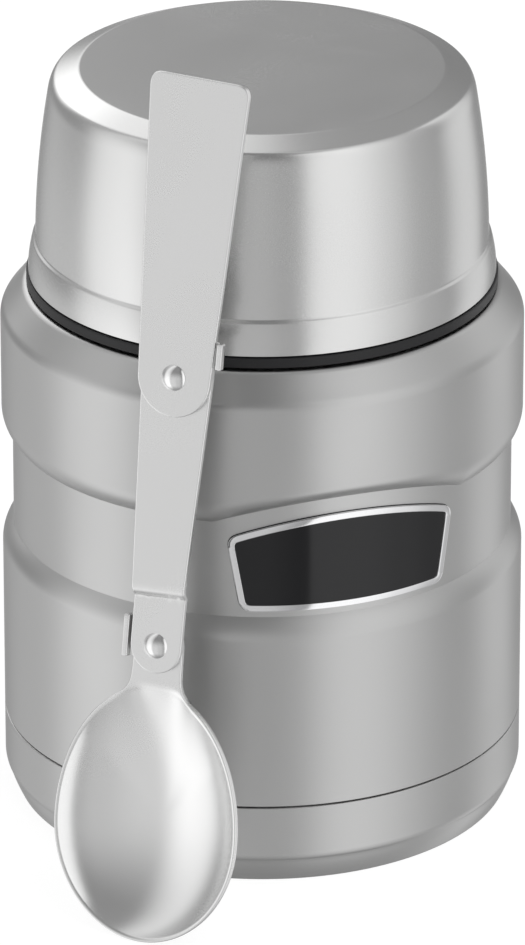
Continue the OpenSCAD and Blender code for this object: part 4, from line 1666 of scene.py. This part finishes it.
    def _bowl_blank(self) -> Outline:
        """Gives the outline of the bowl's blank: egg, neck with its round end, and the ear.

        Returns:
            The outline's points.
        """
        steps, join = 84, math.acos(self.join_half / self.half_w)
        right = [self._on_egg(mix(-math.pi / 2, join, i / steps)) for i in range(steps + 1)]
        corner = self.neck_half + 0.35
        rise = (right[-1][0] - corner) * self.neck_len / (self.half_w * math.tan(join))
        neck = (self.neck_half + 0.12, self.tip_len + self.neck_len + 2.0)
        right += bezier(right[-1], (corner, right[-1][1] + rise), neck, 14)[1:]
        ear_low, ear_high, ear_tip = self.low_v - 2.9, self.low_v + 4.8, -8.4
        ear = soft_outline([(-self.neck_half, ear_high, 0.0), (ear_tip, ear_high, 0.35),
                            (ear_tip, ear_low, 0.35), (-self.neck_half, ear_low, 0.0)], 4)
        cap = [p for p in arc((0, self.low_v), self.neck_half, 0, 180, 24) if p[0] > -3.6]
        left = [(-x, y) for x, y in reversed(right) if y < ear_low - 0.3]
        return divided(thinned([*right, *cap, (-3.9, ear_high), *ear, *left[:-1]]), 0.6)

    def bowl(self) -> bpy.types.Object:
        """Makes the bowl with its soft ramp into the neck.

        Returns:
            The new object.
        """
        inner: Outline = [(0.0, self.tip_len)]
        rims = (1.012, 1.0, 0.988, 0.972, 0.95)
        inner += [self._on_egg(2 * math.pi * i / 180, f, self.rim) for f in rims for i in range(180)]
        for k in range(23):
            f = 0.92 - 0.04 * k
            count = max(8, int(150 * f))
            shift = 0.5 if k and k % 2 == 0 else 0.0
            inner += [self._on_egg(2 * math.pi * (i + shift) / count, f, self.rim) for i in range(count)]
        low = self.tip_len + self.neck_len - 1.5
        inner += [(u * 0.55, low + row * 0.5) for row in range(28) for u in range(-14, 9)]
        return pressed_sheet("spoon_bowl_pressed", self._bowl_blank(), inner, self._bowl_form, self.sheet,
                             self.edge, self.bowl_place())

    def link(self) -> bpy.types.Object:
        """Makes the middle link, which steps over the lower rivet.

        Returns:
            The new object.
        """
        half, low_half, low_v, high_v = self.link_half, self.link_low_half, self.low_v, self.high_v
        start, row_gap, ear_tip = low_v + 8.0, 0.08, 10.7
        heights = [start + k * row_gap for k in range(60)]
        sides = [(mix(low_half, half, (v - start) / (high_v - start)), v) for v in heights]
        ear = soft_outline([(half * 0.98, high_v + 2.8, 0.0), (ear_tip, high_v + 2.8, 0.3),
                            (ear_tip, high_v + 7.5, 0.3), (3.6, high_v + 7.5, 0.0)], 4)
        head = [p for p in arc((0, high_v), half, 0, 180, 24) if p[0] < 2.9]
        left = [(-u, v) for u, v in reversed(sides)]
        foot = arc((0, low_v), low_half, 180, 360, 20)
        blank = divided(thinned([*sides, (half, high_v), (half, high_v + 2.0), *ear, *head, *left, *foot]))
        inner = [(u, low_v - 3 + row) for row in range(56) for u in (-4.0, -2.0, 0.0, 2.0, 4.0)]
        inner += [(u, low_v + 8.5 + row * row_gap + self.jog_slant * u)
                  for row in range(46) for u in (-4.4, -3.0, -1.5, 0.0, 1.5, 3.0, 4.4)]
        inner += [(7.2 + 0.3 * i, high_v + 3.2 + row * 0.55) for row in range(8) for i in range(12)]
        return pressed_sheet("spoon_link_pressed", blank, inner, self._link_form, self.sheet, self.edge,
                             self.place())

    def handle(self) -> bpy.types.Object:
        """Makes the flat handle, wider towards its rounded free end.

        Returns:
            The new object.
        """
        low, top, soft = self.handle_low_half, self.handle_top_half, self.handle_round
        end = self.high_v + self.handle_len
        foot = arc((0, self.high_v), low, 180, 360, 28)
        sides = soft_outline([(low, self.high_v, 0.0), (top, end, soft), (-top, end, soft),
                              (-low, self.high_v, 0.0)], 8)
        blank = divided(thinned([*foot[:-1], *sides[:-1]]))
        inner = [(u, self.high_v + 4 * row) for row in range(13) for u in (-4.0, 0.0, 4.0)]
        return pressed_sheet("spoon_handle_pressed", blank, inner, lambda a, b, t: (a, b, self.handle_w + t),
                             self.sheet, self.edge, self.place())

    def rivet(self, name: str, v: float, low: float, face: float) -> bpy.types.Object:
        """Makes a rivet with a domed head.

        Args:
            name: The piece's name.
            v: Place along the spoon.
            low: Height of the pack's back face.
            face: Height of the pack's front face.

        Returns:
            The rivet.
        """
        head_r, shank_r, back = self.head_r, self.shank_r, low - 0.42
        ball = (head_r ** 2 + self.dome ** 2) / (2 * self.dome)
        outline = [(0.0, back), *bezier((head_r - 0.3, back), (head_r, back), (head_r, low - 0.15), 3),
                   (head_r, low), (shank_r, low), (shank_r, face), (head_r - 0.08, face)]
        half_deg = math.degrees(math.asin(head_r / ball))
        outline += arc((0, face + self.dome - ball), ball, 90 - half_deg, 90, 10)
        return turned(name, thinned(outline), 48, self.place() @ Matrix.Translation((0, v, 0)))

    def build(self, shop: Workshop) -> None:
        """Builds the spoon and puts it on its bodies.

        Args:
            shop: Workshop that dresses and places the pieces.
        """
        shop.settle(self.bowl(), Body.SPOON_BOWL, "spoon_steel", "spoon_bowl")
        shop.settle(self.link(), Body.SPOON_LINK, "spoon_steel", "spoon_link")
        shop.settle(self.handle(), Body.SPOON_HANDLE, "spoon_steel", "spoon_handle")
        play = 0.05
        upper = self.rivet("rivet_upper_polished", self.high_v, self.link_w + self.jog,
                           self.handle_w + self.sheet + play)
        shop.settle(upper, Body.SPOON_LINK, "rivet_steel", "upper_rivet")
        lower = self.rivet("rivet_lower_polished", self.low_v, -self.sheet - play, self.link_w + self.sheet)
        shop.settle(lower, Body.SPOON_LINK, "rivet_steel", "lower_rivet")


# ---- studio and camera ----


@dataclass(frozen=True)
class SoftBox:
    """A soft box of the studio, as polished metal sees it.

    Attributes:
        azimuth: Its direction in degrees.
        half_width: Half of its width in degrees, over which it fades from its middle.
        strength: Its brightness over the studio's own; a negative one makes a dark panel.
        low: Heights in degrees between which it starts.
        high: Heights in degrees between which it ends.
        kept: Share of its brightness that goes on over it.
        screen: Azimuth in degrees of a screen that cuts it off sharply on its left.
    """

    azimuth: float
    half_width: float
    strength: float
    low: tuple[float, float] = (-75, -42)
    high: tuple[float, float] = (30, 60)
    kept: float = 0.7
    screen: float | None = None

    def light(self, nodes: Nodes, effects: Effects, direction: bpy.types.NodeSocket) -> bpy.types.NodeSocket:
        """Adds the light that it sends.

        Args:
            nodes: The world's nodes.
            effects: The shared node groups.
            direction: The direction that is looked in.

        Returns:
            The brightness from that direction.
        """
        middle = math.radians(self.azimuth)
        screen = math.radians(self.azimuth - 90 if self.screen is None else self.screen)
        low, low_full, high_full, high = (math.sin(math.radians(a)) for a in (*self.low, *self.high))
        return nodes.group(
            effects.soft_box, direction=direction, toward=(math.sin(middle), -math.cos(middle), 0.0),
            screen=(math.cos(screen), math.sin(screen), 0.0),
            side_cosine=math.cos(math.radians(self.half_width)), low=low, low_full=low_full,
            high_full=high_full, high=high, kept=self.kept, strength=self.strength)


@dataclass
class Studio:
    """The plain studio: white surroundings, soft boxes for the metal, one soft lamp and a pale floor.

    Attributes:
        base: Brightness that metal sees at and under the horizon.
        ceiling: Brightness that metal sees high over it.
        ambient: Brightness of the surroundings for all else.
        boxes: The soft boxes.
        floor_size: Width of the floor in metres.
        floor_grey: Colour of the floor in its light on the jar.
        floor_faint: Share of the light on it that the floor shows the camera, with its shadow.
        floor_glow: Its own brightness for the camera.
        lamp_size: Width of the lamp in metres.
        lamp_power: Power of the lamp in watts.
        lamp_place: Place of the lamp in metres.
        lamp_aim: Place that it is aimed at in metres.
    """

    base: float = 0.364
    ceiling: float = 0.600
    ambient: float = 0.82
    boxes: tuple[SoftBox, ...] = (
        SoftBox(-79, 28, 0.95, high=(-34, 54), kept=0.52),
        SoftBox(-23, 45, 0.36, high=(12, 58), kept=0.73),
        SoftBox(26, 61, 0.89, high=(55, 57), kept=0.13, screen=21),
        SoftBox(85, 23, 0.21, high=(-9, 63), kept=1.00),
        SoftBox(126, 25, 0.61, high=(38, 47), kept=0.00),
        SoftBox(180, 13, 0.80, high=(-20, -9), kept=0.00),
        SoftBox(-153, 28, 1.49, low=(-2, 23), high=(30, 66), kept=0.00),
        SoftBox(-123, 38, 0.37, high=(-20, -5), kept=0.06),
        SoftBox(-166, 28, 0.62, low=(47, 49), high=(88, 90), kept=1.00),
        SoftBox(-22, 78, -0.52, low=(1, 49), high=(88, 90), kept=1.00),
        SoftBox(150, 71, -0.14, low=(-50, 88), high=(76, 78), kept=0.00),
        SoftBox(-26, 30, -0.10, high=(-10, 40), kept=0.30),
        SoftBox(-48, 40, 0.17, high=(-15, 30), kept=0.00),
    )
    floor_size: float = 3.0
    floor_grey: float = 0.8
    floor_faint: float = 0.16
    floor_glow: float = 0.9
    lamp_size: float = 0.7
    lamp_power: float = 4.0
    lamp_place: Place = (0.45, -0.7, 1.1)
    lamp_aim: Place = (0, 0, 0.06)

    def _pattern(self, nodes: Nodes, effects: Effects) -> bpy.types.NodeSocket:
        """Adds up what polished metal sees of the studio.

        Args:
            nodes: The world's nodes.
            effects: The shared node groups.

        Returns:
            The brightness from each direction.
        """
        direction = nodes.add("ShaderNodeTexCoord").outputs["Generated"]
        height = nodes.add("ShaderNodeSeparateXYZ", {0: direction}).outputs[2]
        total = nodes.ramp(height, 0.0, 0.9, self.base, self.ceiling, smooth=True)
        for box in self.boxes:
            total = nodes.math("ADD", total, box.light(nodes, effects, direction))
        return nodes.math("MAXIMUM", total, 0.0)

    def world(self, effects: Effects) -> None:
        """Makes the surroundings: white to the camera, soft boxes to metal, even light to the rest.

        Args:
            effects: Node groups that the materials share.
        """
        world = bpy.data.worlds.new("Plain studio")
        bpy.context.scene.world = world
        world.use_nodes = True
        world.cycles.sampling_method = "NONE"
        nodes = Nodes(world.node_tree)
        rays = nodes.add("ShaderNodeLightPath").outputs
        shine = nodes.math("MAXIMUM", rays["Is Glossy Ray"], rays["Is Transmission Ray"])
        seen = nodes.mix("FLOAT", shine, self.ambient, self._pattern(nodes, effects))
        value = nodes.mix("FLOAT", rays["Is Camera Ray"], seen, 1.0)
        background = nodes.add("ShaderNodeBackground", {0: value, 1: 1.0})
        nodes.add("ShaderNodeOutputWorld", {0: background.outputs[0]})

    def floor(self) -> None:
        """Lays the floor: white to the camera with a faint shadow, and open to what metal sees."""
        half = self.floor_size / 2 / MM
        corners = [(-half, -half, 0), (half, -half, 0), (half, half, 0), (-half, half, 0)]
        floor = make_mesh("floor", corners, [(0, 1, 2, 3)])
        nodes = start_material("White floor")
        rays = nodes.add("ShaderNodeLightPath").outputs
        plain, faint = (nodes.add("ShaderNodeBsdfDiffuse", {0: (grey, grey, grey, 1.0)}).outputs[0]
                        for grey in (self.floor_grey, self.floor_faint))
        glow = nodes.add("ShaderNodeEmission", {0: (1.0, 1.0, 1.0, 1.0), 1: self.floor_glow}).outputs[0]
        shown = nodes.add("ShaderNodeAddShader", {0: faint, 1: glow}).outputs[0]
        seen = nodes.add("ShaderNodeMixShader", {0: rays["Is Camera Ray"], 1: plain, 2: shown}).outputs[0]
        open_way = nodes.add("ShaderNodeBsdfTransparent").outputs[0]
        shine = nodes.math("MAXIMUM", rays["Is Glossy Ray"], rays["Is Transmission Ray"])
        whole = nodes.add("ShaderNodeMixShader", {0: shine, 1: seen, 2: open_way})
        floor.data.materials.append(finish_material(nodes, whole, "White floor"))

    def lamp(self) -> None:
        """Hangs one large soft lamp over the front right."""
        light = bpy.data.lights.new("Key lamp", "AREA")
        light.shape = "DISK"
        light.size = self.lamp_size
        light.energy = self.lamp_power
        lamp = bpy.data.objects.new("Key lamp", light)
        lamp.location = self.lamp_place
        sight = Vector(self.lamp_aim) - Vector(self.lamp_place)
        lamp.rotation_euler = sight.to_track_quat("-Z", "Y").to_euler()
        lamp.visible_glossy = False
        bpy.context.scene.collection.objects.link(lamp)

    def build(self, effects: Effects) -> None:
        """Builds the studio.

        Args:
            effects: Node groups that the materials share.
        """
        self.world(effects)
        self.floor()
        self.lamp()


@dataclass
class Viewpoint:
    """The camera, far off in front of the jar and looking down on it.

    Attributes:
        distance: Distance in front of the jar's axis.
        height: Height over the floor.
        pitch_deg: Slope of the sight line, downwards.
        focal_px: Focal length in the picture's pixels.
        centre_px: Place of the jar's axis across the picture, in its pixels.
        sensor: Width of the sensor.
        reach: Distance in metres to which the camera sees.
    """

    distance: float = 1500.0
    height: float = 727.7
    pitch_deg: float = 23.986
    focal_px: float = 9028.6
    centre_px: float = 262.22
    sensor: float = 36.0
    reach: float = 20.0

    def build(self) -> None:
        """Sets the camera up."""
        width, height = PICTURE_SIZE
        camera = bpy.data.cameras.new("Camera")
        camera.sensor_width = self.sensor
        camera.lens = self.focal_px * self.sensor / height
        camera.shift_x = (width / 2 - self.centre_px) / height
        camera.clip_end = self.reach
        view = bpy.data.objects.new("Camera", camera)
        view.location = (0, -self.distance * MM, self.height * MM)
        view.rotation_euler = (math.radians(90 - self.pitch_deg), 0, 0)
        bpy.context.scene.collection.objects.link(view)
        bpy.context.scene.camera = view


def main() -> None:
    """Builds the camera, the studio and each sub-assembly."""
    bpy.context.scene.view_settings.view_transform = "Standard"
    Viewpoint().build()
    shop = Workshop()
    Studio().build(shop.effects)
    jar = Jar()
    jar.build(shop)
    Stopper(jar.sizes).build(shop)
    Lid(jar.sizes).build(shop)
    Spoon(jar.sizes).build(shop)


if __name__ == "__main__":
    main()
